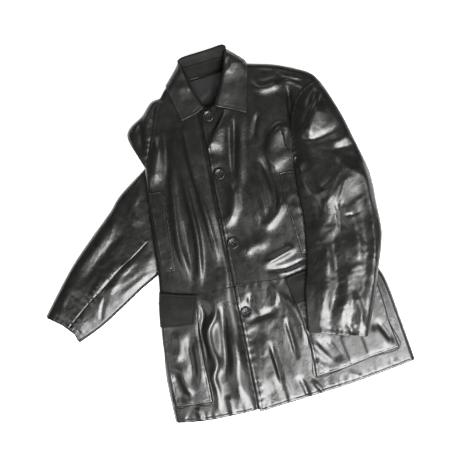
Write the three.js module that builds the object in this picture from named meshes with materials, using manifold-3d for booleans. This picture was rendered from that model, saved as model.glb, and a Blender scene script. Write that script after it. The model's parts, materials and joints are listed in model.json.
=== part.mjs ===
// A black leather car coat lying on its back, buttoned, with its left sleeve across the front and its right
// sleeve tucked under the side. Millimetres, +Z up, +Y towards the collar, +X towards the wearer's left.
// Each leather and lining piece of the coat is a plate or a folded shell of its own in one stack of layers.
// Left and right are the wearer's.
import * as THREE from "three";
import { mergeVertices } from "three/addons/utils/BufferGeometryUtils.js";
import Module from "manifold-3d";

const wasm = await Module();
wasm.setup();

// ---- Driving dimensions --------------------------------------------------------------------------------
const COAT_WIDTH = 784; // cuff of the tucked sleeve to the far corner of the hem
const COAT_LENGTH = 808; // top of the collar to the hem
const LEATHER = 1.6; // shell leather with its fusing
const FACING = 1.4; // facings, under collar and flap linings
const LINING = 0.6;
const GAP = 0.3; // between two layers that lie on each other
const SEAM_GAP = 0.4; // between two panels that are sewn edge to edge
const BODY_LOFT = 12; // air between the back lining and the front linings
const SLEEVE_LOFT = 10; // air between the two sides of a sleeve's lining
const HAND_POCKET_LOFT = 5; // air inside a hand pocket's bag
const HAND_POCKET_REACH = 104; // from the slit towards the front edge
const PATCH_POCKET_LOFT = 5; // depth of a patch pocket's gusset
const GUSSET_WALL = 1.4;
const FLAP_ROOM = 6.5; // between the left flap and the sleeve that lies across it
const FACING_WIDTH = 70;
const BUTTON_DIAMETER = 25;
const BUTTON_THICKNESS = 4.6;
const BUTTON_STAND_OFF = 2; // from the coat's front to the back of a button
const BUTTON_RIM = 2.6;
const BUTTON_DISH = 1.5;
const THREAD_HOLE = 2.2;
const THREAD_HOLE_PITCH = 4.4;
const SHANK_DIAMETER = 3;
const STAY_BUTTON_DIAMETER = 11;
const STAY_BUTTON_THICKNESS = 1.6;
const BUTTONHOLE_ROOM = 3; // how much longer a buttonhole is than its button
const BUTTONHOLE_WIDTH = 4.4;
const WELT_WIDTH = 29;
const WELT_SLIT = 6;
const HEAD_ROLL_WIDTH = 12; // padded strip along the top of each armhole
const COLLAR_HEIGHT = 44; // how high the back of the collar stands
const HINGE_CLEARANCE = 1.5; // between a leaf or flap and the line that it turns about
const CURVE_STEPS = 8; // chords along a curved edge
const BUTTON_SIDES = 28;

// The outlines below are drawn for this size, and graded() cuts them to the two overall sizes.
const BLOCK_WIDTH = 784;
const BLOCK_LENGTH = 808;
const graded = ([x, y]) =>
  new THREE.Vector2((x * COAT_WIDTH) / BLOCK_WIDTH, (y * COAT_LENGTH) / BLOCK_LENGTH);

// ---- Heights of the layers, from the floor up ----------------------------------------------------------
const layer = (floor, thickness) => ({ low: floor + GAP, high: floor + GAP + thickness });
const BACK = { low: 0, high: LEATHER };
const BACK_LINING = layer(BACK.high, LINING);
const NECK_FACING = layer(BACK.high, FACING);
const FRONT_LINING = layer(BACK_LINING.high + BODY_LOFT - GAP, LINING);
const BAG_BACK = layer(FRONT_LINING.high, LINING);
const BAG_FRONT = layer(BAG_BACK.high + HAND_POCKET_LOFT - GAP, LINING);
const FRONT_FACING = layer(BAG_FRONT.high, FACING);
const RIGHT_FRONT = layer(FRONT_FACING.high, LEATHER);
const LEFT_FRONT = layer(RIGHT_FRONT.high, LEATHER);

function pocketLayers(front) {
  const gusset = layer(front.high, PATCH_POCKET_LOFT);
  const face = layer(gusset.high, LEATHER);
  const flapLining = layer(face.high, FACING);
  return { gusset, face, flapLining, flap: layer(flapLining.high, LEATHER) };
}
const LEFT_POCKET = pocketLayers(LEFT_FRONT);
const RIGHT_POCKET = pocketLayers(RIGHT_FRONT);

function sleeveLayers(low) {
  const under = { low, high: low + LEATHER };
  const lining = layer(under.high, SLEEVE_LOFT + 2 * LINING);
  return { under, lining, top: { low: under.high + GAP, high: lining.high + GAP + LEATHER } };
}
const LEFT_SLEEVE = sleeveLayers(LEFT_POCKET.flap.high + FLAP_ROOM);
const RIGHT_SLEEVE = sleeveLayers(0);

const UNDER_COLLAR = layer(LEFT_FRONT.high, FACING);
const TOP_COLLAR = layer(UNDER_COLLAR.high, LEATHER);
const COLLAR_ROOF = { low: COLLAR_HEIGHT - LEATHER, high: COLLAR_HEIGHT };

// ---- Outlines, seen from above -------------------------------------------------------------------------
const FRONT_EDGE_X = 29; // edge of the left front, which laps over the right
const UNDERLAP_X = 76; // edge of the right front, under the left
const BUTTON_X = 46;
const BUTTON_ROWS_Y = [257, 127, -28, -183];
const CENTRE_BACK_X = 55; // seam down the middle of the back
const CENTRE_BACK_TOP_Y = 373;
const CENTRE_BACK_HEM_Y = -402;
const WAIST_Y = -120;
const FACING_TOP_Y = 258;
const FACING_HEM_Y = -390;

const LEFT_NECKLINE = [[FRONT_EDGE_X, 264], [58, 276], [92, 318], [120, 366]];
const LEFT_SHOULDER = [[120, 366], [212, 343], [264, 322], [288, 308]];
const LEFT_ARMHOLE = [[288, 308], [240, 258], [216, 190], [224, 112], [262, 70]];
const LEFT_SIDE = [[262, 70], [300, -30], [340, WAIST_Y]];
const LEFT_SKIRT_SIDE = [[340, WAIST_Y], [365, -190], [380, -270], [392, -356]];
const LEFT_HEM = [[392, -356], [296, -373], [170, -391], [FRONT_EDGE_X, -404]];
const RIGHT_SKIRT_SIDE = [[-152, -394], [-154, -300], [-146, -219], [-137, WAIST_Y]];
const RIGHT_SIDE = [[-137, WAIST_Y], [-130, -65], [-120, 67], [-113, 171]];
const RIGHT_ARMHOLE = [[-113, 171], [-97, 208], [-82, 250], [-67, 292], [-51, 318]];
const RIGHT_SHOULDER = [[-51, 318], [-33, 334], [0, 350]];
const RIGHT_NECKLINE = [[0, 350], [16, 306], [40, 276], [UNDERLAP_X, 262]];
// The back and the side panel stand in from the right side above the waist, clear of the tucked sleeve.
const RIGHT_TUCK = [[-137, -128], [-80, -66], [-68, 67], [-52, 190], [-45, 300]];
const RIGHT_HEM = [[UNDERLAP_X, -398], [-61, -400], [-152, -394]];
const BACK_NECK_RIGHT = [[0, 350], [14, 366], [CENTRE_BACK_X, CENTRE_BACK_TOP_Y]];
const BACK_NECK_LEFT = [[CENTRE_BACK_X, CENTRE_BACK_TOP_Y], [100, 376], [120, 366]];
const NECK_FACING_CURVE = [[4, 346], [32, 347], [60, 351], [92, 358], [112, 360]];
const LINING_TOP = [[-32, 300], [0, 336], [60, 346], [130, 350], [250, 312]];
const LINING_ARMHOLE = [[250, 300], [226, 258], [206, 190], [214, 112]];
const LINING_HEM = [[330, -364], [CENTRE_BACK_X, -390], [-140, -388]];
const LEFT_FRONT_LINING_EDGE = [[330, -366], [150, -386], [150, 318], [230, 310]];
const RIGHT_FRONT_LINING_EDGE = [[-28, 306], [10, 300], [10, -390]];

const RIGHT_CAP_OUTER = [[-116, 172], [-139, 234], [-128, 268], [-99, 287], [-74, 314], [-53, 321]];
const LEFT_HEAD_ROLL = [[272, 300], [240, 258], [222, 206]];
const RIGHT_HEAD_ROLL = [[-118, 206], [-104, 246], [-84, 282]];
const LEFT_SLEEVE_OUTER = [
  [302, 289], [335, 203], [361, 108], [372, 27], [371, -62], [345, -147], [296, -283],
];
const LEFT_SLEEVE_INNER = [[249, 280], [222, 215], [210, 100], [210, 0], [194, -117], [171, -249]];
const RIGHT_SLEEVE_OUTER = [[-131, 222], [-122, 168], [-178, 123], [-262, 39], [-348, -57], [-392, -111]];
const RIGHT_SLEEVE_INNER = [[-84, 216], [-84, 100], [-92, -30], [-132, -65], [-226, -123], [-331, -179]];

const LEFT_ROLL_LINE = [[60, 276], [101, 392]];
const LEFT_LEAF_EDGE = [[146, 366], [152, 356], [129, 248], [96, 264]];
const RIGHT_ROLL_LINE = [[43, 278], [17, 372]];
const RIGHT_LEAF_EDGE = [[-10, 366], [-35, 342], [-14, 257], [17, 266]];
const STAND_LINE = [[20, 377], [55, 381], [92, 384]];
const COLLAR_BACK_LINE = [[8, 390], [50, 398], [92, 404]];

const LEFT_WELT_LINE = [[189, 106], [194, 20], [197, -78]];
const RIGHT_WELT_LINE = [[-98, 115], [-101, 25], [-104, -62]];
const LEFT_PATCH = {
  down: [[146, -133], [164, -235], [169, -352]],
  across: [[169, -352], [235, -345], [363, -322]],
  up: [[363, -322], [350, -200], [334, -133]],
};
const RIGHT_PATCH = {
  down: [[-133, -133], [-143, -219], [-147, -359]],
  across: [[-147, -359], [-105, -362], [-64, -363]],
  up: [[-64, -363], [-63, -240], [-57, -133]],
};
const LEFT_FLAP_SEAM = [[144, -125], [330, -114]];
const LEFT_FLAP_EDGE = [[326, -177], [156, -187]];
const RIGHT_FLAP_SEAM = [[-134, -107], [-54, -124]];
const RIGHT_FLAP_EDGE = [[-66, -188], [-145, -180]];

// ---- Drawing -------------------------------------------------------------------------------------------
// One edge: a straight line through two points, or a smooth curve through more.
function edge(points) {
  const through = points.map(graded);
  return points.length === 2 ? through : new THREE.SplineCurve(through).getPoints(CURVE_STEPS);
}

const straight = (points) => points.map(graded);
const reversed = (line) => [...line].reverse();

// A closed outline of lines that follow each other.
function outline(...lines) {
  const points = lines.flat();
  return new THREE.Shape(points.filter((p, i) => p.distanceTo(points[(i + 1) % points.length]) > 0.01));
}

// A line moved sideways, to the left of its own direction when distance is positive.
function offset(line, distance) {
  return line.map((p, i) => {
    const before = line[Math.max(i - 1, 0)];
    const after = line[Math.min(i + 1, line.length - 1)];
    const along = after.clone().sub(before).normalize();
    return new THREE.Vector2(p.x - along.y * distance, p.y + along.x * distance);
  });
}

function extended(line, length) {
  const beyond = (end, inner) => end.clone().add(end.clone().sub(inner).setLength(length));
  return [beyond(line[0], line[1]), ...line, beyond(line.at(-1), line.at(-2))];
}

const ribbon = (line, left, right) => outline(offset(line, left), reversed(offset(line, -right)));

function plate(shape, { low, high }) {
  return new THREE.ExtrudeGeometry(shape, { depth: high - low, bevelEnabled: false }).translate(0, 0, low);
}

function cylinder(diameter, { low, high }, place, sides) {
  const geometry = new THREE.CylinderGeometry(diameter / 2, diameter / 2, high - low, sides);
  return geometry.rotateX(Math.PI / 2).translate(place.x, place.y, (low + high) / 2);
}

function toSolid(geometry) {
  const bare = geometry.clone();
  bare.deleteAttribute("normal");
  bare.deleteAttribute("uv");
  const merged = mergeVertices(bare, 1e-4);
  const vertProperties = merged.attributes.position.array;
  return new wasm.Manifold(new wasm.Mesh({ numProp: 3, vertProperties, triVerts: merged.index.array }));
}

function toGeometry(solid) {
  const { vertProperties, triVerts } = solid.getMesh();
  const geometry = new THREE.BufferGeometry();
  geometry.setAttribute("position", new THREE.BufferAttribute(vertProperties, 3));
  geometry.setIndex(new THREE.BufferAttribute(triVerts, 1));
  return geometry;
}

const cut = (body, ...tools) =>
  toGeometry(tools.reduce((rest, tool) => rest.subtract(toSolid(tool)), toSolid(body)));
const join = (body, ...others) =>
  toGeometry(others.reduce((sum, other) => sum.add(toSolid(other)), toSolid(body)));

// The tools of the two shells below reach past both ends, so that the ends stay open. In both, the inside
// lies to the right of the first line and to the left of the second.
const insideOf = (first, second, wall) =>
  outline(
    extended(offset(first, -wall), 3 * LEATHER),
    reversed(extended(offset(second, wall), 3 * LEATHER)),
  );

function tray(first, second, { low, high }, wall) {
  const body = plate(outline(first, reversed(second)), { low, high });
  return cut(body, plate(insideOf(first, second, wall), { low: low - wall, high: high - wall }));
}

function tube(first, second, { low, high }, wall) {
  const body = plate(outline(first, reversed(second)), { low, high });
  return cut(body, plate(insideOf(first, second, wall), { low: low + wall, high: high - wall }));
}

// ---- Materials -----------------------------------------------------------------------------------------
const material = (color, roughness) => new THREE.MeshStandardMaterial({ color, roughness, metalness: 0 });
const SHELL_LEATHER = material(0x23231f, 0.35);
const DULL_LEATHER = material(0x2b2a27, 0.6);
const LINING_CLOTH = material(0x1c1b1c, 0.5);
const BUTTON_RESIN = material(0x161412, 0.2);
const THREAD = material(0x141414, 0.8);
const WADDING = material(0x3a3a3c, 0.9);

const coat = new THREE.Group();
function add(name, geometry, look) {
  const mesh = new THREE.Mesh(geometry, look);
  mesh.name = name;
  coat.add(mesh);
  return mesh;
}

// ---- Lines that several pieces share -------------------------------------------------------------------
const halfSeam = SEAM_GAP / 2;
const leftSideLine = [...edge(LEFT_SIDE), ...edge(LEFT_SKIRT_SIDE).slice(1)];
const tuckLine = edge(RIGHT_TUCK);
const skirtLine = [...edge(RIGHT_SKIRT_SIDE.slice(0, 3)), tuckLine[0]];
const rightSideLine = [...skirtLine, ...tuckLine.slice(1)];
const buttonPlaces = BUTTON_ROWS_Y.map((y) => graded([BUTTON_X, y]));
const atWaist = (x, shift) => graded([x, WAIST_Y]).add(new THREE.Vector2(0, shift));

// ---- Fronts --------------------------------------------------------------------------------------------
// A hole starts just before its shank, on the side of the front edge, and runs away from that edge.
function buttonhole({ x, y }) {
  const near = x - SHANK_DIAMETER;
  const far = near + BUTTON_DIAMETER + BUTTONHOLE_ROOM;
  const line = [new THREE.Vector2(near, y), new THREE.Vector2(far, y)];
  const through = { low: LEFT_FRONT.low - GAP, high: LEFT_FRONT.high + GAP };
  return plate(ribbon(line, BUTTONHOLE_WIDTH / 2, BUTTONHOLE_WIDTH / 2), through);
}

// The slit runs beside the welt, on the side of the front edge. That side of the line is towards, 1 or -1.
function slit(line, front, towards) {
  const middle = offset(edge(line), (towards * (WELT_WIDTH + WELT_SLIT)) / 2);
  const through = { low: front.low - GAP, high: front.high + GAP };
  return plate(ribbon(middle, WELT_SLIT / 2, WELT_SLIT / 2), through);
}

function leftFrontUpper() {
  const waist = [atWaist(FRONT_EDGE_X, halfSeam), atWaist(LEFT_SIDE.at(-1)[0], halfSeam)];
  const shape = outline(
    waist,
    reversed(edge(LEFT_SIDE)).slice(1),
    reversed(edge(LEFT_ARMHOLE)),
    reversed(edge(LEFT_SHOULDER)),
    reversed(edge(LEFT_NECKLINE)),
  );
  const holes = buttonPlaces.filter((place) => place.y > waist[0].y).map(buttonhole);
  return cut(plate(shape, LEFT_FRONT), slit(LEFT_WELT_LINE, LEFT_FRONT, -1), ...holes);
}

function leftFrontSkirt() {
  const side = edge(LEFT_SKIRT_SIDE);
  const waist = [atWaist(FRONT_EDGE_X, -halfSeam), atWaist(LEFT_SIDE.at(-1)[0], -halfSeam)];
  const shape = outline(waist, side.slice(1), edge(LEFT_HEM));
  const holes = buttonPlaces.filter((place) => place.y < waist[0].y).map(buttonhole);
  return cut(plate(shape, LEFT_FRONT), ...holes);
}

function rightFrontUpper() {
  const waist = [atWaist(UNDERLAP_X, halfSeam), atWaist(RIGHT_SIDE[0][0], halfSeam)];
  const shape = outline(
    waist,
    edge(RIGHT_SIDE).slice(1),
    edge(RIGHT_ARMHOLE),
    edge(RIGHT_SHOULDER),
    edge(RIGHT_NECKLINE),
  );
  return cut(plate(shape, RIGHT_FRONT), slit(RIGHT_WELT_LINE, RIGHT_FRONT, 1));
}

function rightFrontSkirt() {
  const waist = [atWaist(RIGHT_SIDE[0][0], -halfSeam), atWaist(UNDERLAP_X, -halfSeam)];
  return plate(outline(edge(RIGHT_SKIRT_SIDE).slice(0, -1), waist, straight(RIGHT_HEM)), RIGHT_FRONT);
}

// A facing is a strip of one width; shift is how far it starts from the edge of the underlap.
function facing(shift) {
  const top = graded([UNDERLAP_X, FACING_TOP_Y]);
  const bottom = graded([UNDERLAP_X, FACING_HEM_Y]);
  const corner = (end, across) => new THREE.Vector2(end.x + shift + across, end.y);
  const near = [corner(top, 0), corner(bottom, 0)];
  const far = [corner(bottom, FACING_WIDTH), corner(top, FACING_WIDTH)];
  return plate(outline(near, far), FRONT_FACING);
}

add("left_front_upper", leftFrontUpper(), SHELL_LEATHER);
add("left_front_skirt", leftFrontSkirt(), SHELL_LEATHER);
add("right_front_upper", rightFrontUpper(), SHELL_LEATHER);
add("right_front_skirt", rightFrontSkirt(), SHELL_LEATHER);
add("right_front_facing", facing(-FACING_WIDTH), DULL_LEATHER);
add("left_front_facing", facing(2 * GAP), DULL_LEATHER);

// ---- Back and sides ------------------------------------------------------------------------------------
// A side panel is a band on edge that stands on the back and reaches up to the layer above.
function sidePanel(line, ceiling) {
  return plate(ribbon(line, 0, LEATHER), { low: BACK.high + GAP, high: ceiling.low - GAP });
}

// Each half of the back turns up along its shoulder to meet the front.
function backHalf(shape, shoulder, front) {
  const wall = plate(ribbon(shoulder.slice(1), 0, LEATHER), { low: BACK.low, high: front.low - GAP });
  return join(plate(shape, BACK), wall);
}

// The edge of one half along the centre seam, from the neck to the hem.
function centreEdge(shift) {
  const ends = straight([[CENTRE_BACK_X, CENTRE_BACK_TOP_Y], [CENTRE_BACK_X, CENTRE_BACK_HEM_Y]]);
  return ends.map((p) => new THREE.Vector2(p.x + shift, p.y));
}

function backLeft() {
  const [top, bottom] = centreEdge(halfSeam);
  const neck = edge(BACK_NECK_LEFT).slice(1);
  const hem = edge(LEFT_HEM).filter((p) => p.x > bottom.x);
  const shoulder = edge(LEFT_SHOULDER);
  const shape = outline([top], neck, shoulder, edge(LEFT_ARMHOLE), leftSideLine, hem, [bottom]);
  return backHalf(shape, shoulder, LEFT_FRONT);
}

function backRight() {
  const shoulder = edge([RIGHT_TUCK.at(-1), ...RIGHT_SHOULDER.slice(1)]);
  const neck = edge(BACK_NECK_RIGHT).slice(0, -1);
  const shape = outline(rightSideLine, shoulder, neck, centreEdge(-halfSeam));
  return backHalf(shape, shoulder, RIGHT_FRONT);
}

function rightSidePanel() {
  return join(sidePanel(skirtLine, RIGHT_FRONT), sidePanel(tuckLine, BAG_BACK));
}

add("back_left_panel", backLeft(), SHELL_LEATHER);
add("back_right_panel", backRight(), SHELL_LEATHER);
add("left_side_panel", sidePanel(leftSideLine, LEFT_FRONT), SHELL_LEATHER);
add("right_side_panel", rightSidePanel(), SHELL_LEATHER);

// ---- Lining --------------------------------------------------------------------------------------------
const liningInset = LEATHER + 2 * GAP;
const leftLiningLine = offset(leftSideLine, -liningInset);
const rightLiningLine = offset(rightSideLine, -liningInset);
const armholeLining = straight(LINING_ARMHOLE);

function backLining() {
  const left = [...armholeLining, ...leftLiningLine];
  const hem = straight(LINING_HEM);
  return plate(outline(rightLiningLine.slice(0, -1), edge(LINING_TOP), left, hem), BACK_LINING);
}

function neckFacing() {
  const upper = offset([...edge(BACK_NECK_RIGHT), ...edge(BACK_NECK_LEFT).slice(1)], -LEATHER);
  return plate(outline(upper, reversed(edge(NECK_FACING_CURVE))), NECK_FACING);
}

const leftFrontLining = outline(straight(LEFT_FRONT_LINING_EDGE), armholeLining, leftLiningLine);
const rightFrontLining = outline(rightLiningLine.slice(0, -1), straight(RIGHT_FRONT_LINING_EDGE));

add("back_lining", backLining(), LINING_CLOTH);
add("back_neck_facing", neckFacing(), DULL_LEATHER);
add("left_front_lining", plate(leftFrontLining, FRONT_LINING), LINING_CLOTH);
add("right_front_lining", plate(rightFrontLining, FRONT_LINING), LINING_CLOTH);

// ---- Hand pockets: a welt beside a slit, over a bag of two layers --------------------------------------
function handPocket(side, line, front, towards) {
  const path = edge(line);
  const half = WELT_WIDTH / 2;
  const past = half + WELT_SLIT + HAND_POCKET_REACH;
  const strip = (from, to) => outline(offset(path, towards * from), reversed(offset(path, towards * to)));
  add(`${side}_hand_pocket_welt`, plate(strip(-half, half), layer(front.high, LEATHER)), SHELL_LEATHER);
  add(`${side}_hand_pocket_bag_back`, plate(strip(-half, past), BAG_BACK), LINING_CLOTH);
  add(`${side}_hand_pocket_bag_front`, plate(strip(half + WELT_SLIT, past), BAG_FRONT), LINING_CLOTH);
}

handPocket("left", LEFT_WELT_LINE, LEFT_FRONT, -1);
handPocket("right", RIGHT_WELT_LINE, RIGHT_FRONT, 1);

// ---- Patch pockets: a face on a gusset, with a hinged flap over the mouth ------------------------------
function patchPocket(side, { down, across, up }, layers) {
  const line = [...edge(down), ...edge(across).slice(1), ...edge(up).slice(1)];
  add(`${side}_patch_pocket_face`, plate(outline(line), layers.face), SHELL_LEATHER);
  add(`${side}_patch_pocket_gusset`, plate(ribbon(line, GUSSET_WALL, 0), layers.gusset), SHELL_LEATHER);
}

function pocketFlap(side, seam, freeEdge, layers) {
  const shape = outline(offset(straight(seam), -HINGE_CLEARANCE), straight(freeEdge));
  add(`${side}_pocket_flap_lining`, plate(shape, layers.flapLining), LINING_CLOTH);
  add(`${side}_pocket_flap`, plate(shape, layers.flap), SHELL_LEATHER);
}

patchPocket("left", LEFT_PATCH, LEFT_POCKET);
patchPocket("right", RIGHT_PATCH, RIGHT_POCKET);
pocketFlap("left", LEFT_FLAP_SEAM, LEFT_FLAP_EDGE, LEFT_POCKET);
pocketFlap("right", RIGHT_FLAP_SEAM, RIGHT_FLAP_EDGE, RIGHT_POCKET);

// ---- Sleeves -------------------------------------------------------------------------------------------
// The top sleeve is folded down at both edges and stands on the flat under sleeve. A lining tube fills it.
function sleeve(side, first, second, layers) {
  const shape = outline(first, reversed(second));
  const inset = LEATHER + GAP;
  const lining = tube(offset(first, -inset), offset(second, inset), layers.lining, LINING);
  add(`${side}_under_sleeve`, plate(shape, layers.under), SHELL_LEATHER);
  add(`${side}_sleeve_lining`, lining, LINING_CLOTH);
  add(`${side}_top_sleeve`, tray(first, second, layers.top, LEATHER), SHELL_LEATHER);
}

function addHeadRoll(side, line, below, above) {
  const strip = ribbon(edge(line), HEAD_ROLL_WIDTH / 2, HEAD_ROLL_WIDTH / 2);
  add(`${side}_sleeve_head_roll`, plate(strip, { low: below.high + GAP, high: above.low - GAP }), WADDING);
}

// The head of the right sleeve is gathered over the shoulder, above the tucked part of the sleeve.
function rightSleeveCap() {
  const outer = edge(RIGHT_CAP_OUTER);
  const seam = offset(edge(RIGHT_ARMHOLE), SEAM_GAP).slice(1, -1);
  const roof = plate(outline(outer, reversed(seam)), RIGHT_FRONT);
  const wall = plate(ribbon(outer, 0, LEATHER), {
    low: RIGHT_SLEEVE.top.high + GAP,
    high: RIGHT_FRONT.high,
  });
  return join(roof, wall);
}

sleeve("left", edge(LEFT_SLEEVE_OUTER), edge(LEFT_SLEEVE_INNER), LEFT_SLEEVE);
sleeve("right", edge(RIGHT_SLEEVE_INNER), edge(RIGHT_SLEEVE_OUTER), RIGHT_SLEEVE);
add("right_sleeve_cap", rightSleeveCap(), SHELL_LEATHER);
addHeadRoll("left", LEFT_HEAD_ROLL, LEFT_FRONT, LEFT_SLEEVE.under);
addHeadRoll("right", RIGHT_HEAD_ROLL, RIGHT_SLEEVE.top, RIGHT_FRONT);

// ---- Collar: a stand, a back that falls behind it, and two leaves that turn up -------------------------
function collarLeaf(side, rollLine, freeEdge, away) {
  const roll = offset(straight(rollLine), away * HINGE_CLEARANCE);
  const shape = outline(roll, straight(freeEdge));
  add(`${side}_under_collar`, plate(shape, UNDER_COLLAR), DULL_LEATHER);
  add(`${side}_top_collar`, plate(shape, TOP_COLLAR), SHELL_LEATHER);
}

function collarBack() {
  const outer = edge(COLLAR_BACK_LINE);
  const stand = edge(STAND_LINE);
  const roof = plate(outline(outer, reversed(stand)), COLLAR_ROOF);
  return join(roof, plate(ribbon(outer, 0, LEATHER), { low: BACK.low, high: COLLAR_ROOF.high }));
}

// A strip on edge under the roof of the collar, on one side of its line.
function underRoof(line, left, right, low) {
  return plate(ribbon(line, left, right), { low, high: COLLAR_ROOF.low - GAP });
}

const underCollarLine = offset(edge(COLLAR_BACK_LINE), -LEATHER - GAP);
add("collar_stand", underRoof(edge(STAND_LINE), LEATHER, 0, NECK_FACING.high + GAP), DULL_LEATHER);
add("back_top_collar", collarBack(), SHELL_LEATHER);
add("back_under_collar", underRoof(underCollarLine, 0, FACING, BACK.low), DULL_LEATHER);
collarLeaf("left", LEFT_ROLL_LINE, LEFT_LEAF_EDGE, -1);
collarLeaf("right", RIGHT_ROLL_LINE, RIGHT_LEAF_EDGE, 1);

// ---- Buttons, their thread shanks, and the stay buttons behind the facing ------------------------------
const buttonLow = LEFT_FRONT.high + BUTTON_STAND_OFF;

function buttonGeometry() {
  const radius = BUTTON_DIAMETER / 2;
  const face = BUTTON_THICKNESS - BUTTON_DISH;
  const profile = [
    [0, 0],
    [radius * 0.8, 0],
    [radius * 0.95, BUTTON_THICKNESS * 0.2],
    [radius, BUTTON_THICKNESS * 0.5],
    [radius - BUTTON_RIM * 0.3, BUTTON_THICKNESS * 0.9],
    [radius - BUTTON_RIM * 0.6, BUTTON_THICKNESS],
    [radius - BUTTON_RIM, BUTTON_THICKNESS * 0.9],
    [radius - BUTTON_RIM * 1.5, face],
    [0, face * 0.9],
  ];
  const disc = new THREE.LatheGeometry(profile.map(([r, z]) => new THREE.Vector2(r, z)), BUTTON_SIDES);
  const half = THREAD_HOLE_PITCH / 2;
  const corners = [[-half, -half], [-half, half], [half, -half], [half, half]];
  const through = { low: -BUTTON_THICKNESS, high: 2 * BUTTON_THICKNESS };
  const holes = corners.map(([x, y]) => cylinder(THREAD_HOLE, through, { x, y }, 8));
  return cut(disc.rotateX(Math.PI / 2), ...holes);
}

buttonPlaces.forEach((place, i) => {
  const number = i + 1;
  const button = add(`button_${number}`, buttonGeometry(), BUTTON_RESIN);
  button.position.set(place.x, place.y, buttonLow);
  const shank = { low: RIGHT_FRONT.high + GAP, high: buttonLow - GAP };
  add(`button_${number}_thread_shank`, cylinder(SHANK_DIAMETER, shank, place, 10), THREAD);
  const stay = { low: FRONT_FACING.low - GAP - STAY_BUTTON_THICKNESS, high: FRONT_FACING.low - GAP };
  add(`button_${number}_stay_button`, cylinder(STAY_BUTTON_DIAMETER, stay, place, 14), BUTTON_RESIN);
});

// The origin is on the floor below the middle of the coat.
const box = new THREE.Box3().setFromObject(coat);
const middle = box.getCenter(new THREE.Vector3());
coat.position.set(-middle.x, -middle.y, -box.min.z);

export default coat;
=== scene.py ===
"""A black leather car coat lying on its back, buttoned, one sleeve across the front and one tucked under.

Outlines and folds are drawn in millimetres in the coat's own frame, seen from above: +X towards the wearer's
left, +Y towards the collar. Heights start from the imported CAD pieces. Left and right are the wearer's.
"""

import json
import math

import bpy
import numpy as np
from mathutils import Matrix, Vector, geometry, kdtree

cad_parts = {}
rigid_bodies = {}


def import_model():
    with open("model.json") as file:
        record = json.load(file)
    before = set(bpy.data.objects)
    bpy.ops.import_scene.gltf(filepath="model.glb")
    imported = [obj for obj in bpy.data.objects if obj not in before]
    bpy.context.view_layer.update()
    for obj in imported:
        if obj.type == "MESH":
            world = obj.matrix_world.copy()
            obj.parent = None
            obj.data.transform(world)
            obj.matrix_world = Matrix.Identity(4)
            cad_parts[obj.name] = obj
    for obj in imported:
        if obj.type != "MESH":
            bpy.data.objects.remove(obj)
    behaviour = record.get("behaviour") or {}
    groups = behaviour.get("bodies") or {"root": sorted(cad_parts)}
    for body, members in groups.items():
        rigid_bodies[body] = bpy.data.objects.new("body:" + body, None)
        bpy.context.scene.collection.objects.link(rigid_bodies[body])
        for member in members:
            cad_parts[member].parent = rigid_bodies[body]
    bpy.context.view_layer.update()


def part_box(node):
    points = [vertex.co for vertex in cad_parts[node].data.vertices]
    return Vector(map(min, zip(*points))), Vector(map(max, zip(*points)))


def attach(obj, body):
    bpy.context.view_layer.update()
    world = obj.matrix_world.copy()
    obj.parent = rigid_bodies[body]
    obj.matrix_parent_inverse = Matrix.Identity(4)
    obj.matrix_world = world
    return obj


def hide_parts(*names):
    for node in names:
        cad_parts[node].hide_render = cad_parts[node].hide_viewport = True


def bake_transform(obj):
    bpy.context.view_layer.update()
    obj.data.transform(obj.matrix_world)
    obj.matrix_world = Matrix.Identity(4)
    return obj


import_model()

MM = 0.001
GRID = 3.2  # spacing of the points in a visible leather panel
LEATHER = 1.5
FACING = 1.3
UNDER_COLLAR = 1.2
LINING = 0.6
FINEST_CREASE = 12.0


def low(node):
    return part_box(node)[0].z / MM


def high(node):
    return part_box(node)[1].z / MM


# ---- Lines and outlines ------------------------------------------------------------------------------
def resample(points, step):
    points = np.asarray(points, float)
    lengths = np.linalg.norm(np.diff(points, axis=0), axis=1)
    along = np.concatenate([[0], np.cumsum(lengths)])
    count = max(int(round(along[-1] / step)), 1)
    places = np.linspace(0, along[-1], count + 1)
    return np.stack([np.interp(places, along, points[:, i]) for i in range(points.shape[1])], axis=1)


def smooth(points, step=3.0):
    """An even line through given points: straight for two, a Catmull-Rom curve for more."""
    p = np.asarray(points, float)
    if len(p) == 2:
        return resample(p, step)
    p = np.vstack([2 * p[0] - p[1], p, 2 * p[-1] - p[-2]])
    t = np.linspace(0, 1, 12, endpoint=False)[:, None]
    pieces = []
    for a, b, c, d in zip(p[:-3], p[1:-2], p[2:-1], p[3:]):
        curve = 2 * b + (c - a) * t + (2 * a - 5 * b + 4 * c - d) * t**2 + (3 * b - 3 * c + d - a) * t**3
        pieces.append(curve / 2)
    return resample(np.vstack([*pieces, p[-2:-1]]), step)


def outline(*edges, step=3.0):
    """A closed outline of edges that follow each other and meet at corners."""
    points = np.vstack([smooth(edge, step) for edge in edges])
    keep = np.linalg.norm(points - np.roll(points, -1, axis=0), axis=1) > 0.2
    points = points[keep]
    return points if area_of(points) > 0 else points[::-1]


def closed_up(loop):
    """An outline with its first point again at the end."""
    return np.vstack([loop, loop[:1]])


def area_of(points):
    x, y = points[:, 0], points[:, 1]
    return 0.5 * np.sum(x * np.roll(y, -1) - np.roll(x, -1) * y)


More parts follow.
